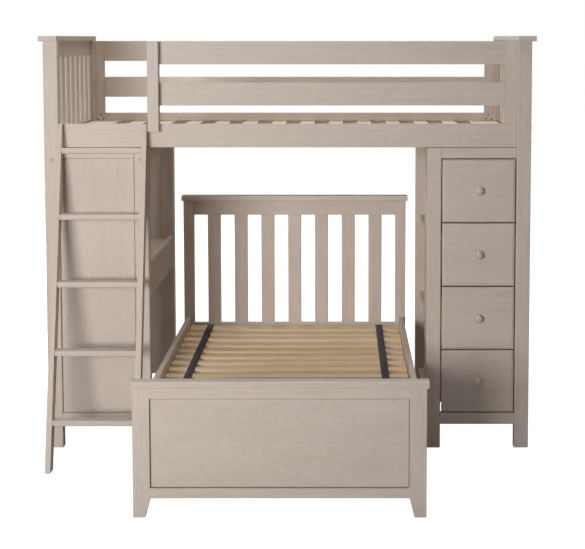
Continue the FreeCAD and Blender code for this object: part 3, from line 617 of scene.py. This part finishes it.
def islands(node: Piece) -> list[Box]:
    """Finds the separate boards of a node.

    Args:
        node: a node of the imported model, whose mesh is only read.

    Returns:
        The lowest and highest corner of each board, sorted by the lowest one.
    """
    shape = bmesh.new()
    shape.from_mesh(node.data)
    bmesh.ops.remove_doubles(shape, verts=shape.verts, dist=MM * MM)
    waiting = dict.fromkeys(shape.verts)
    boxes: list[Box] = []
    while waiting:
        first, _ = waiting.popitem()
        stack, places = [first], [first.co.copy()]
        while stack:
            here = stack.pop()
            for edge in here.link_edges:
                there = edge.other_vert(here)
                if there in waiting:
                    del waiting[there]
                    stack.append(there)
                    places.append(there.co.copy())
        low = Vector([min(place[axis] for place in places) for axis in range(3)])
        high = Vector([max(place[axis] for place in places) for axis in range(3)])
        boxes.append((low, high))
    shape.free()
    return sorted(boxes, key=lambda box: tuple(round(value, PLACE_DIGITS) for value in box[0]))


def finish_node(node: Piece, material: Material) -> None:
    """Gives every material slot of a node one material."""
    for slot in node.material_slots:
        slot.material = material


def new_piece(name: str, shape: bmesh.types.BMesh) -> Piece:
    """Links a finished mesh to the scene.

    Args:
        name: the piece's name.
        shape: its mesh, which is used up.

    Returns:
        The new object, at the origin.
    """
    mesh = bpy.data.meshes.new(name)
    shape.to_mesh(mesh)
    shape.free()
    piece = bpy.data.objects.new(name, mesh)
    bpy.context.scene.collection.objects.link(piece)
    return piece


def baked(source: Piece, tree: Tree, values: Mapping[str, Any]) -> None:
    """Runs a geometry tree on an object and keeps the result as its plain mesh.

    Args:
        source: the object whose mesh the tree reads and whose mesh the result becomes.
        tree: the geometry tree.
        values: a value for each of the tree's named inputs.
    """
    modifier = source.modifiers.new(tree.name, "NODES")
    modifier.node_group = tree
    for item in tree.interface.items_tree:
        if item.item_type == "SOCKET" and item.in_out == "INPUT" and item.name in values:
            modifier[item.identifier] = values[item.name]
    bpy.context.view_layer.update()
    graph = bpy.context.evaluated_depsgraph_get()
    mesh = bpy.data.meshes.new_from_object(source.evaluated_get(graph), depsgraph=graph)
    source.modifiers.clear()
    old, source.data = source.data, mesh
    mesh.name = source.name
    bpy.data.meshes.remove(old)


def geometry_tree(name: str, inputs: Sequence[tuple[str, str]]) -> tuple[Tree, bpy.types.Node]:
    """Makes a geometry tree with named inputs.

    Args:
        name: the tree's name.
        inputs: the name and the socket type of each input after the geometry.

    Returns:
        The tree and its input node.
    """
    tree = bpy.data.node_groups.new(name, "GeometryNodeTree")
    for title, kind in (("Geometry", "NodeSocketGeometry"), *inputs):
        tree.interface.new_socket(title, in_out="INPUT", socket_type=kind)
    tree.interface.new_socket("Geometry", in_out="OUTPUT", socket_type="NodeSocketGeometry")
    return tree, add_node(tree, "NodeGroupInput")


def close_tree(tree: Tree, shape: Socket, material: Socket) -> None:
    """Ends a geometry tree in real geometry that carries its material.

    Args:
        tree: the tree.
        shape: the geometry or instances that it made.
        material: what they are made of.
    """
    real = add_node(tree, "GeometryNodeRealizeInstances", None, {"Geometry": shape})
    dressed = add_node(
        tree, "GeometryNodeSetMaterial", None,
        {"Geometry": real.outputs["Geometry"], "Material": material},
    )
    add_node(tree, "NodeGroupOutput", None, {"Geometry": dressed.outputs["Geometry"]})


@dataclass(frozen=True)
class Fixing:
    """One fastener: where it sits, which way its head looks, and its half width and height."""

    place: Vector
    outward: Vector
    size: Triple


class Hardware:
    """Screws, bolts and staples, each a small head repeated over a set of places.

    Profiles are rings of radius and height, in units of the head's own radius and height.
    """

    # Points round a head, and the seed for how far each head is turned.
    ROUND = 20
    SEED = 3

    CROSS_RINGS = ((0.55, -0.9), (1.0, -0.12), (1.0, 0.06), (0.92, 0.12))
    CROSS_ARM, CROSS_HALF, CROSS_FLOOR = 0.52, 0.15, -0.45
    SHANK_RADIUS = 0.40
    DOME_RINGS = ((1.0, 0.0), (1.0, 0.30), (0.95, 0.56), (0.84, 0.79), (0.68, 0.93), (0.50, 1.0))
    SOCKET_SIDES, SOCKET_RADIUS, SOCKET_FLOOR = 6, 0.36, 0.30
    CROWN_THICK, CROWN_HALF_WIDTH, CROWN_BEND = 0.10, 0.085, 0.12
    LEG_INNER, LEG_END = 0.85, -0.25

    def __init__(self) -> None:
        """Makes the tree that repeats a head."""
        self.tree = self._repeat_tree()

    @staticmethod
    def _repeat_tree() -> Tree:
        """Makes the tree that puts one head on each point, facing along the point's own direction.

        Returns:
            The geometry tree.
        """
        tree, given = geometry_tree(
            "repeat_heads",
            (("Head", "NodeSocketObject"), ("Turn", "NodeSocketFloat"), ("Seed", "NodeSocketInt"),
             ("Metal", "NodeSocketMaterial")),
        )
        points = add_node(tree, "GeometryNodeMeshToPoints", None, {"Mesh": given.outputs["Geometry"]})
        outward, size = (
            add_node(
                tree, "GeometryNodeInputNamedAttribute", {"data_type": "FLOAT_VECTOR"}, {"Name": name}
            )
            for name in ("outward", "size")
        )
        facing = add_node(
            tree, "FunctionNodeAlignRotationToVector", {"axis": "Z"},
            {"Vector": outward.outputs["Attribute"]},
        )
        # Its sockets have the same names for each data type, so the highest and the result go by number.
        angle = add_node(
            tree, "FunctionNodeRandomValue", {"data_type": "FLOAT"},
            {3: given.outputs["Turn"], "Seed": given.outputs["Seed"]},
        )
        spin = add_node(
            tree, "FunctionNodeAxisAngleToRotation", None,
            {"Axis": (0.0, 0.0, 1.0), "Angle": angle.outputs[1]},
        )
        turned = add_node(
            tree, "FunctionNodeRotateRotation", {"rotation_space": "LOCAL"},
            {"Rotation": facing.outputs["Rotation"], "Rotate By": spin.outputs["Rotation"]},
        )
        head = add_node(tree, "GeometryNodeObjectInfo", None, {"Object": given.outputs["Head"]})
        placed = add_node(
            tree, "GeometryNodeInstanceOnPoints", None,
            {
                "Points": points.outputs["Points"],
                "Instance": head.outputs["Geometry"],
                "Rotation": turned.outputs["Rotation"],
                "Scale": size.outputs["Attribute"],
            },
        )
        close_tree(tree, placed.outputs["Instances"], given.outputs["Metal"])
        return tree

    def _head(self, rings: Sequence[Span], recess: Sequence[Span], floor: float) -> Piece:
        """Turns a head from its profile and sinks a driver recess into its top.

        Args:
            rings: radius and height of each ring, from the hidden end to the top face.
            recess: the outline of the recess.
            floor: the height of the recess floor.

        Returns:
            A scratch object with one closed head.
        """
        shape = bmesh.new()
        steps = [math.tau * step / self.ROUND for step in range(self.ROUND)]
        loops = [
            [shape.verts.new((radius * math.cos(a), radius * math.sin(a), height)) for a in steps]
            for radius, height in rings
        ]
        shape.faces.new(list(reversed(loops[0])))
        for under, over in zip(loops, loops[1:]):
            self._wall(shape, under, over)
        top = rings[-1][1]
        mouth = [shape.verts.new((x, y, top)) for x, y in recess]
        bottom = [shape.verts.new((x, y, floor)) for x, y in recess]
        self._wall(shape, bottom, mouth)
        shape.faces.new(bottom)
        rims = [
            shape.edges.get(pair)
            for loop in (loops[-1], mouth)
            for pair in zip(loop, loop[1:] + loop[:1])
        ]
        bmesh.ops.triangle_fill(shape, use_beauty=True, edges=rims)
        bmesh.ops.recalc_face_normals(shape, faces=shape.faces)
        return new_piece("scratch_head", shape)

    @staticmethod
    def _wall(
        shape: bmesh.types.BMesh, under: list[bmesh.types.BMVert], over: list[bmesh.types.BMVert]
    ) -> None:
        """Joins two loops of as many points with a band of faces.

        Args:
            shape: the mesh that takes the faces.
            under: the points of one loop.
            over: the points of the other loop.
        """
        count = len(under)
        for at in range(count):
            after = (at + 1) % count
            shape.faces.new((under[at], under[after], over[after], over[at]))

    def cross_head(self) -> Piece:
        """Makes a countersunk screw head with a cross recess.

        Returns:
            A scratch object with one head.
        """
        arm, half = self.CROSS_ARM, self.CROSS_HALF
        quarter = ((half, arm), (-half, arm), (-half, half))
        outline = []
        for step in range(4):
            c, s = round(math.cos(step * math.pi / 2)), round(math.sin(step * math.pi / 2))
            outline += [(c * x - s * y, s * x + c * y) for x, y in quarter]
        return self._head(self.CROSS_RINGS, outline, self.CROSS_FLOOR)

    def socket_head(self, shank_share: float) -> Piece:
        """Makes a domed bolt with a hexagon socket.

        Args:
            shank_share: length of the shank in head heights.

        Returns:
            A scratch object with one bolt.
        """
        radius, sides, shank = self.SOCKET_RADIUS, self.SOCKET_SIDES, self.SHANK_RADIUS
        corners = [math.tau * step / sides for step in range(sides)]
        hexagon = [(radius * math.cos(corner), radius * math.sin(corner)) for corner in corners]
        rings = ((shank, -shank_share), (shank, 0.0), *self.DOME_RINGS)
        return self._head(rings, hexagon, self.SOCKET_FLOOR)

    def staple_crown(self) -> Piece:
        """Makes the crown of a staple with its two bent ends, one unit long each way from its middle.

        Returns:
            A scratch object with one crown.
        """
        shape = bmesh.new()
        thick, wide, inner, end = self.CROWN_THICK, self.CROWN_HALF_WIDTH, self.LEG_INNER, self.LEG_END
        flat, shoulder = 1.0 - self.CROWN_BEND, thick - self.CROWN_BEND / 2
        profile = (
            (-1.0, end), (-1.0, shoulder), (-flat, thick), (flat, thick), (1.0, shoulder),
            (1.0, end), (inner, end), (inner, 0.0), (-inner, 0.0), (-inner, end),
        )
        near, far = ([shape.verts.new((x, side, z)) for x, z in profile] for side in (-wide, wide))
        self._wall(shape, near, far)
        shape.faces.new(near)
        shape.faces.new(far)
        bmesh.ops.recalc_face_normals(shape, faces=shape.faces)
        return new_piece("scratch_crown", shape)

    def repeat(
        self, name: str, head: Piece, fixings: Sequence[Fixing], metal: Material,
        turn: float = math.tau,
    ) -> Piece:
        """Puts one head at each place and returns them as one piece.

        Args:
            name: the piece's name.
            head: the scratch object with one head, removed afterwards.
            fixings: where the heads go.
            metal: what the heads are made of.
            turn: how far a head may be turned about its own axis, in radians.

        Returns:
            The finished piece.
        """
        shape = bmesh.new()
        for fixing in fixings:
            shape.verts.new(fixing.place)
        piece = new_piece(name, shape)
        for title in ("outward", "size"):
            layer = piece.data.attributes.new(title, "FLOAT_VECTOR", "POINT")
            for entry, fixing in zip(layer.data, fixings):
                entry.vector = getattr(fixing, title)
        baked(piece, self.tree, {"Head": head, "Turn": turn, "Seed": self.SEED, "Metal": metal})
        bpy.data.meshes.remove(head.data)
        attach(piece, FRAME_BODY)
        return piece


@dataclass
class Webbing:
    """The straps that keep the slats in place, laid over the slats and slack between them.

    Attributes:
        finish: the woven finish.
        slack: how far a strap dips between two slats.
        edge: radius of the woven edge.
        edge_steps: points that round the woven edge.
        steps: points along each dip.
    """

    finish: WebbingFinish
    slack: float = 0.8 * MM
    edge: float = 0.6 * MM
    edge_steps: int = 2
    steps: int = 6

    def _tree(self) -> Tree:
        """Makes the tree that draws a flat band along a path.

        Returns:
            The geometry tree.
        """
        tree, given = geometry_tree(
            "flat_band",
            (("Width", "NodeSocketFloat"), ("Thickness", "NodeSocketFloat"), ("Edge", "NodeSocketFloat"),
             ("Weave", "NodeSocketMaterial")),
        )
        path = add_node(tree, "GeometryNodeMeshToCurve", None, {"Mesh": given.outputs["Geometry"]})
        level = add_node(
            tree, "GeometryNodeSetCurveNormal", {"mode": "Z_UP"}, {"Curve": path.outputs["Curve"]}
        )
        section = add_node(
            tree, "GeometryNodeCurvePrimitiveQuadrilateral", None,
            {"Width": given.outputs["Width"], "Height": given.outputs["Thickness"]},
        )
        softened = add_node(
            tree, "GeometryNodeFilletCurve", {"mode": "POLY"},
            {
                "Curve": section.outputs["Curve"],
                "Count": self.edge_steps,
                "Radius": given.outputs["Edge"],
            },
        )
        band = add_node(
            tree, "GeometryNodeCurveToMesh", None,
            {
                "Curve": level.outputs["Curve"],
                "Profile Curve": softened.outputs["Curve"],
                "Fill Caps": True,
            },
        )
        close_tree(tree, band.outputs["Mesh"], given.outputs["Weave"])
        return tree

    def _path(self, strap: Box, slats: Sequence[Box], axis: int) -> list[Vector]:
        """Follows the slat tops and dips between them.

        Args:
            strap: the strap's own box.
            slats: the boxes of the slats that it crosses.
            axis: the axis along which it runs.

        Returns:
            The points of the strap's middle line.
        """
        low, high = strap
        row = sorted((slat[0][axis], slat[1][axis]) for slat in slats)
        slat_width = row[1][1] - row[1][0]
        stations = [(low[axis], 0.0)]
        for (_, leave), (meet, _) in zip(row, row[1:]):
            dip = self.slack * min(1.0, (meet - leave) / slat_width)
            for step in range(self.steps + 1):
                share = step / self.steps
                stations.append((leave + (meet - leave) * share, dip * math.sin(math.pi * share) ** 2))
        stations.append((high[axis], 0.0))
        points = []
        for station, drop in stations:
            point = centre(strap)
            point[axis] = station
            point.z -= drop
            points.append(point)
        return points

    def build(self, straps: Sequence[Box], upper: Sequence[Box], lower: Sequence[Box]) -> list[Piece]:
        """Weaves both pairs of straps.

        Args:
            straps: the boxes of the four straps.
            upper: the boxes of the loft's slats.
            lower: the boxes of the lower bed's slats.

        Returns:
            One piece for each bed.
        """
        tree = self._tree()
        pieces = []
        for name, run, slats in (
            ("loft_webbing", Grain.ACROSS, upper), ("lower_webbing", Grain.DEEP, lower)
        ):
            axis = run.value
            own = [strap for strap in straps if run_axis(strap) == axis]
            shape = bmesh.new()
            for strap in own:
                line = [shape.verts.new(point) for point in self._path(strap, slats, axis)]
                for pair in zip(line, line[1:]):
                    shape.edges.new(pair)
            piece = new_piece(name, shape)
            size = own[0][1] - own[0][0]
            baked(piece, tree, {
                "Width": size[1 - axis], "Thickness": size.z, "Edge": self.edge,
                "Weave": self.finish.material(f"black_webbing_{name}", run),
            })
            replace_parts(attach(piece, FRAME_BODY), "slat_straps")
            pieces.append(piece)
        return pieces


class Timber:
    """All boards of the bed, each node with the finish and grain that its boards have."""

    UPRIGHT = (
        "post_front_left", "post_front_right", "post_back_left", "post_back_right", "guard_stiles",
        "guard_stile_entry", "desk_stiles", "chest_stiles", "headboard_posts", "footboard_legs",
    )
    ACROSS = (
        "long_rail_front", "long_rail_back", "guard_rails_front", "guard_rails_back", "desk_frame_rails",
        "chest_frame_rails", "drawer_front_1", "drawer_front_2", "drawer_front_3", "drawer_front_4",
        "headboard_cap", "headboard_rails", "footboard_cap", "footboard_rails", "ladder_treads",
        "corner_plates",
    )
    DEEP = (
        "end_cap_left", "end_cap_right", "end_top_rails", "end_bottom_rails", "desk_top", "desk_apron",
        "desk_side_rails", "bookcase_shelves", "lower_side_rails",
    )
    PANELS_UPRIGHT = (
        "desk_panel_front", "desk_panel_back", "bookcase_back_panel", "chest_side_panel",
        "chest_partition", "storage_outer_panel",
    )
    PANELS_ACROSS = ("footboard_panel",)
    TURNED = ("drawer_knob_1", "drawer_knob_2", "drawer_knob_3", "drawer_knob_4")
    BARE_DEEP = (
        "drawer_box_1", "drawer_box_2", "drawer_box_3", "drawer_box_4", "drawer_runners", "slat_cleats",
    )

    # The rows of boards in one node: finish, node, grain, and the axis along which the boards follow.
    ROWS = (
        (STONE_WASH, "end_slats", Grain.UPRIGHT, 1),
        (STONE_WASH, "headboard_slats", Grain.UPRIGHT, 0),
        (SHEEN_LIT_SOFTWOOD, "upper_slats", Grain.DEEP, 0),
        (BARE_SOFTWOOD, "lower_slats", Grain.ACROSS, 1),
    )

    # How far before a board its cell starts, in pitches.
    CELL_LEAD = 0.2

    # Depth of the ladder rail's cut tip, which its lean doesn't count.
    LADDER_TIP = 12.0 * MM

    def __init__(self, nodes: Mapping[str, Piece]) -> None:
        """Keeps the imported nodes."""
        self.nodes = nodes

    def _row(self, node: str, grain: Grain, axis: int) -> Lay:
        """Finds the spacing of a row of boards and gives each board its own cell.

        Args:
            node: the node that holds the row.
            grain: the axis of the fibres.
            axis: the axis along which the boards follow each other.

        Returns:
            How the boards are cut.
        """
        starts = sorted({round(box[0][axis], PLACE_DIGITS - 1) for box in islands(self.nodes[node])})
        gaps = sorted(after - before for before, after in zip(starts, starts[1:]))
        pitch = gaps[len(gaps) // 2]
        start = starts[len(starts) // 2] - self.CELL_LEAD * pitch
        return Lay(grain, board_axis=axis, board_pitch=pitch, board_start=start)

    def dress(self) -> None:
        """Finishes every timber node."""
        for finish, names, grain in (
            (STONE_WASH, self.UPRIGHT, Grain.UPRIGHT),
            (STONE_WASH, self.ACROSS, Grain.ACROSS),
            (STONE_WASH, self.DEEP, Grain.DEEP),
            (RIPPLED_VENEER, self.PANELS_UPRIGHT, Grain.UPRIGHT),
            (RIPPLED_VENEER, self.PANELS_ACROSS, Grain.ACROSS),
        ):
            self._finish(names, finish.material(f"{finish.title}_{grain.name.lower()}", Lay(grain)))
        crisp = Lay(Grain.DEEP, edge_wear_and_highlight=False)
        self._finish(self.TURNED, TURNED_WOOD.material(TURNED_WOOD.title, crisp))
        self._finish(self.BARE_DEEP, BARE_SOFTWOOD.material(f"{BARE_SOFTWOOD.title}_deep", crisp))
        for finish, name, grain, axis in self.ROWS:
            lay = self._row(name, grain, axis)
            self._finish((name,), finish.material(f"{finish.title}_{name}", lay))
        low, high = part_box("ladder_rails")
        raked = Lay(Grain.UPRIGHT, rake=math.atan2(high.y - low.y - self.LADDER_TIP, high.z - low.z))
        self._finish(("ladder_rails",), STONE_WASH.material(f"{STONE_WASH.title}_raked", raked))

    def _finish(self, names: Sequence[str], material: Material) -> None:
        """Gives several nodes one material and reports them.

        Args:
            names: the nodes.
            material: their finish.
        """
        for name in names:
            finish_node(self.nodes[name], material)
            LOG.info("%s: %s", name, material.name)


@dataclass
class Fastenings:
    """Where the bed's screws, bolts and staples sit.

    Attributes:
        hardware: what makes the heads.
        lacquered: the metal of the bolts.
        black: the metal of the screws and staples.
        slat_screw_radius: radius of the screw heads on the slats.
        slat_screw_inset: how far a slat's screw sits from its end.
        plate_screw_radius: radius of the screw heads on the corner plates.
        plate_pattern: how far each plate screw sits from the plate's middle, towards the bed's end
            and up.
        staple_half: half the length of a staple.
        bolt_head: height of a bolt's head.
    """

    hardware: Hardware
    lacquered: Material
    black: Material
    slat_screw_radius: float = 3.6 * MM
    slat_screw_inset: float = 13.0 * MM
    plate_screw_radius: float = 4.2 * MM
    plate_pattern: tuple[Span, ...] = (
        (1.5 * MM, 8.0 * MM), (-10.0 * MM, -10.4 * MM), (17.0 * MM, -12.3 * MM),
    )
    staple_half: float = 6.0 * MM
    bolt_head: float = 5.0 * MM

    def slat_screws(self, name: str, slats: Sequence[Box], axis: int) -> Piece:
        """Screws each slat down at both ends.

        Args:
            name: the piece's name.
            slats: the boxes of the slats.
            axis: the axis along which a slat runs.

        Returns:
            The screws as one piece.
        """
        radius = self.slat_screw_radius
        fixings = []
        for low, high in slats:
            for end, inset in ((low, self.slat_screw_inset), (high, -self.slat_screw_inset)):
                place = centre((low, high))
                place[axis] = end[axis] + inset
                place.z = high.z
                fixings.append(Fixing(place, Vector((0, 0, 1)), (radius, radius, radius)))
        return self.hardware.repeat(name, self.hardware.cross_head(), fixings, self.black)

    def plate_screws(self, plates: Sequence[Box]) -> Piece:
        """Puts three screws on each corner plate, the top one over the two lower ones.

        Args:
            plates: the boxes of the plates.

        Returns:
            The screws as one piece.
        """
        radius = self.plate_screw_radius
        loft_middle = centre(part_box("desk_top"))
        fixings = []
        for low, high in plates:
            middle = centre((low, high))
            side = 1.0 if middle.x > 0 else -1.0
            front = middle.y < loft_middle.y
            face, inward = (high.y, 1.0) if front else (low.y, -1.0)
            for across, rise in self.plate_pattern:
                place = Vector((middle.x + side * across, face, middle.z + rise))
                fixings.append(Fixing(place, Vector((0, inward, 0)), (radius, radius, radius)))
        return self.hardware.repeat("plate_screws", self.hardware.cross_head(), fixings, self.black)

    def bolts(self, boxes: Sequence[Box]) -> Piece:
        """Makes the bed bolts, each with its head on the outside of a post or stile.

        Args:
            boxes: the boxes of the bolts.

        Returns:
            The bolts as one piece.
        """
        middles = (centre(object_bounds()).x, centre(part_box("desk_top")).y)
        fixings = []
        length = 0.0
        for low, high in boxes:
            size = high - low
            axis = run_axis((low, high))
            place = centre((low, high))
            outward = Vector((0, 0, 0))
            outward[axis] = 1.0 if place[axis] > middles[axis] else -1.0
            place[axis] = (high if outward[axis] > 0 else low)[axis] - outward[axis] * self.bolt_head
            length = size[axis] - self.bolt_head
            fixings.append(Fixing(place, outward, (size.z / 2, size.z / 2, self.bolt_head)))
        piece = self.hardware.repeat(
            "socket_bolts", self.hardware.socket_head(length / self.bolt_head), fixings, self.lacquered
        )
        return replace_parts(piece, "bed_bolts")

    def staples(self, straps: Sequence[Box], upper: Sequence[Box], lower: Sequence[Box]) -> Piece:
        """Staples each strap to each slat that it crosses.

        Args:
            straps: the boxes of the straps.
            upper: the boxes of the loft's slats.
            lower: the boxes of the lower bed's slats.

        Returns:
            The staples as one piece.
        """
        fixings = []
        half = self.staple_half
        for strap in straps:
            along = run_axis(strap)
            for slat in upper if along == 0 else lower:
                place = centre(strap)
                place[along] = centre(slat)[along]
                place.z = strap[1].z
                fixings.append(Fixing(place, Vector((0, 0, 1)), (half, half, half)))
        crown = self.hardware.staple_crown()
        return self.hardware.repeat("strap_staples", crown, fixings, self.black, turn=0.0)


@dataclass(frozen=True)
class SoftBox:
    """One large rectangular light.

    Attributes:
        name: what the light is called.
        place: where it stands.
        aim: the point that it looks at.
        size: its width and height.
        power: its power in watts.
        spread: how wide its beam fans out, in degrees.
    """

    name: str
    place: Triple
    aim: Triple
    size: Span
    power: float
    spread: float

    def build(self) -> None:
        """Adds the light to the scene."""
        data = bpy.data.lights.new(self.name, "AREA")
        data.shape = "RECTANGLE"
        data.size, data.size_y = self.size
        data.energy = self.power
        data.spread = math.radians(self.spread)
        light = bpy.data.objects.new(self.name, data)
        light.location = self.place
        beam = Vector(self.aim) - Vector(self.place)
        light.rotation_euler = beam.to_track_quat("-Z", "Y").to_euler()
        bpy.context.scene.collection.objects.link(light)


# A gridded softbox far to the front left and low, so that the left end is brightest, the desk stays
# dim and the footboard throws its soft shadow on the lowest drawer.
KEY = SoftBox("key", (-2.74, -8.0, 1.55), (-0.98, 0.0, 1.3), (2.8, 1.5), 68.0, 68.0)

# A large light overhead, which brightens the slats and every ledge.
TOP = SoftBox("top", (0.0, 0.2, 5.0), (0.0, 0.0, 0.0), (3.0, 3.0), 127.0, 180.0)

# A weak wide light from the front left that opens the deepest shadows.
FILL = SoftBox("fill", (-0.7, -8.0, 3.0), (0.0, 0.0, 0.8), (4.0, 2.0), 28.0, 180.0)

# Two lights behind the front face, one for the back and left end and one for the right end; the
# chest keeps the second one off the desk and the ladder.
REAR = SoftBox("rear", (-4.5, 7.0, 2.5), (0.0, 1.0, 0.9), (3.0, 2.0), 230.0, 180.0)
SIDE = SoftBox("side", (7.5, 2.0, 1.8), (1.0, 0.5, 0.9), (2.0, 1.5), 150.0, 180.0)


@dataclass
class Studio:
    """The white floor, the soft light and the camera.

    Attributes:
        lights: the softboxes.
        floor_reach: half the side of the floor.
        floor_grey: the floor's own colour.
        floor_glow: how bright the floor looks by itself.
        dome: strength of the light from all round.
        camera_place: where the camera stands.
        camera_tilt: how far it looks down, in radians.
        sensor: width of the sensor, in millimetres.
        lens: focal length, in millimetres.
        shift: how far the lens is shifted, in frame widths.
    """

    lights: tuple[SoftBox, ...] = (KEY, TOP, FILL, REAR, SIDE)
    floor_reach: float = 30.0
    floor_grey: str = "#C8C6C3"
    floor_glow: float = 1.0
    dome: float = 0.025
    camera_place: Triple = (0.21880, -6.86461, 1.72375)
    camera_tilt: float = 0.09373
    sensor: float = 36.0
    lens: float = 101.36
    shift: Span = (-0.0819, -0.1396)

    def build(self) -> None:
        """Sets up the whole stage."""
        bpy.context.scene.view_settings.view_transform = "Standard"
        self._floor()
        self._world()
        for light in self.lights:
            light.build()
        self._camera()

    def _floor(self) -> None:
        """Lays a pale floor that stays near white to the eye and throws little light back."""
        reach = self.floor_reach
        corners = ((-reach, -reach), (reach, -reach), (reach, reach), (-reach, reach))
        shape = bmesh.new()
        shape.faces.new([shape.verts.new((x, y, 0.0)) for x, y in corners])
        floor = new_piece("floor", shape)
        material, tree = shader_tree("pale_floor")
        seen = add_node(tree, "ShaderNodeLightPath").outputs["Is Camera Ray"]
        matt = add_node(tree, "ShaderNodeBsdfDiffuse", None, {"Color": linear(self.floor_grey)})
        strength = add_node(
            tree, "ShaderNodeMapRange", None, {"Value": seen, **limits(WHOLE, (0.0, self.floor_glow))}
        )
        glow = add_node(
            tree, "ShaderNodeEmission", None,
            {"Color": linear(WHITE), "Strength": strength.outputs["Result"]},
        )
        both = add_node(tree, "ShaderNodeAddShader", None, {0: matt.outputs[0], 1: glow.outputs[0]})
        add_node(tree, "ShaderNodeOutputMaterial", None, {"Surface": both.outputs[0]})
        floor.data.materials.append(material)
        floor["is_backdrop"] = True

    def _world(self) -> None:
        """Lights the stage softly from all round, with a white backdrop."""
        world = bpy.data.worlds.new("white_room")
        world.use_nodes = True
        tree = world.node_tree
        tree.nodes.clear()
        seen = add_node(tree, "ShaderNodeLightPath").outputs["Is Camera Ray"]
        strength = add_node(
            tree, "ShaderNodeMapRange", None, {"Value": seen, **limits(WHOLE, (self.dome, 1.0))}
        )
        room = add_node(
            tree, "ShaderNodeBackground", None,
            {"Color": linear(WHITE), "Strength": strength.outputs["Result"]},
        )
        add_node(tree, "ShaderNodeOutputWorld", None, {"Surface": room.outputs[0]})
        bpy.context.scene.world = world

    def _camera(self) -> None:
        """Adds the camera at the photograph's viewpoint."""
        data = bpy.data.cameras.new("camera")
        data.sensor_fit = "HORIZONTAL"
        data.sensor_width = self.sensor
        data.lens = self.lens
        data.shift_x, data.shift_y = self.shift
        camera = bpy.data.objects.new("camera", data)
        camera.location = self.camera_place
        camera.rotation_euler = (math.pi / 2 - self.camera_tilt, 0.0, 0.0)
        bpy.context.scene.collection.objects.link(camera)
        bpy.context.scene.camera = camera


def main() -> None:
    """Loads the frame, dresses it, logs the added pieces and sets the stage."""
    logging.basicConfig(level=logging.INFO, format="%(message)s")
    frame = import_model()
    nodes = frame["nodes"]
    Timber(nodes).dress()
    finish_node(nodes["barrel_nuts"], ZINC_PLATE.material("zinc_plate"))
    straps, upper, lower, plates, bolts = (
        islands(nodes[name])
        for name in ("slat_straps", "upper_slats", "lower_slats", "corner_plates", "bed_bolts")
    )
    pieces = Webbing(WebbingFinish()).build(straps, upper, lower)
    fastenings = Fastenings(
        Hardware(), LACQUERED_STEEL.material("lacquered_steel"), BLACKED_STEEL.material("blacked_steel")
    )
    pieces += [
        fastenings.slat_screws("lower_slat_screws", lower, 0),
        fastenings.slat_screws("loft_slat_screws", upper, 1),
        fastenings.plate_screws(plates),
        fastenings.bolts(bolts),
        fastenings.staples(straps, upper, lower),
    ]
    for piece in pieces:
        LOG.info("%s: %d faces", piece.name, len(piece.data.polygons))
    Studio().build()


if __name__ == "__main__":
    main()
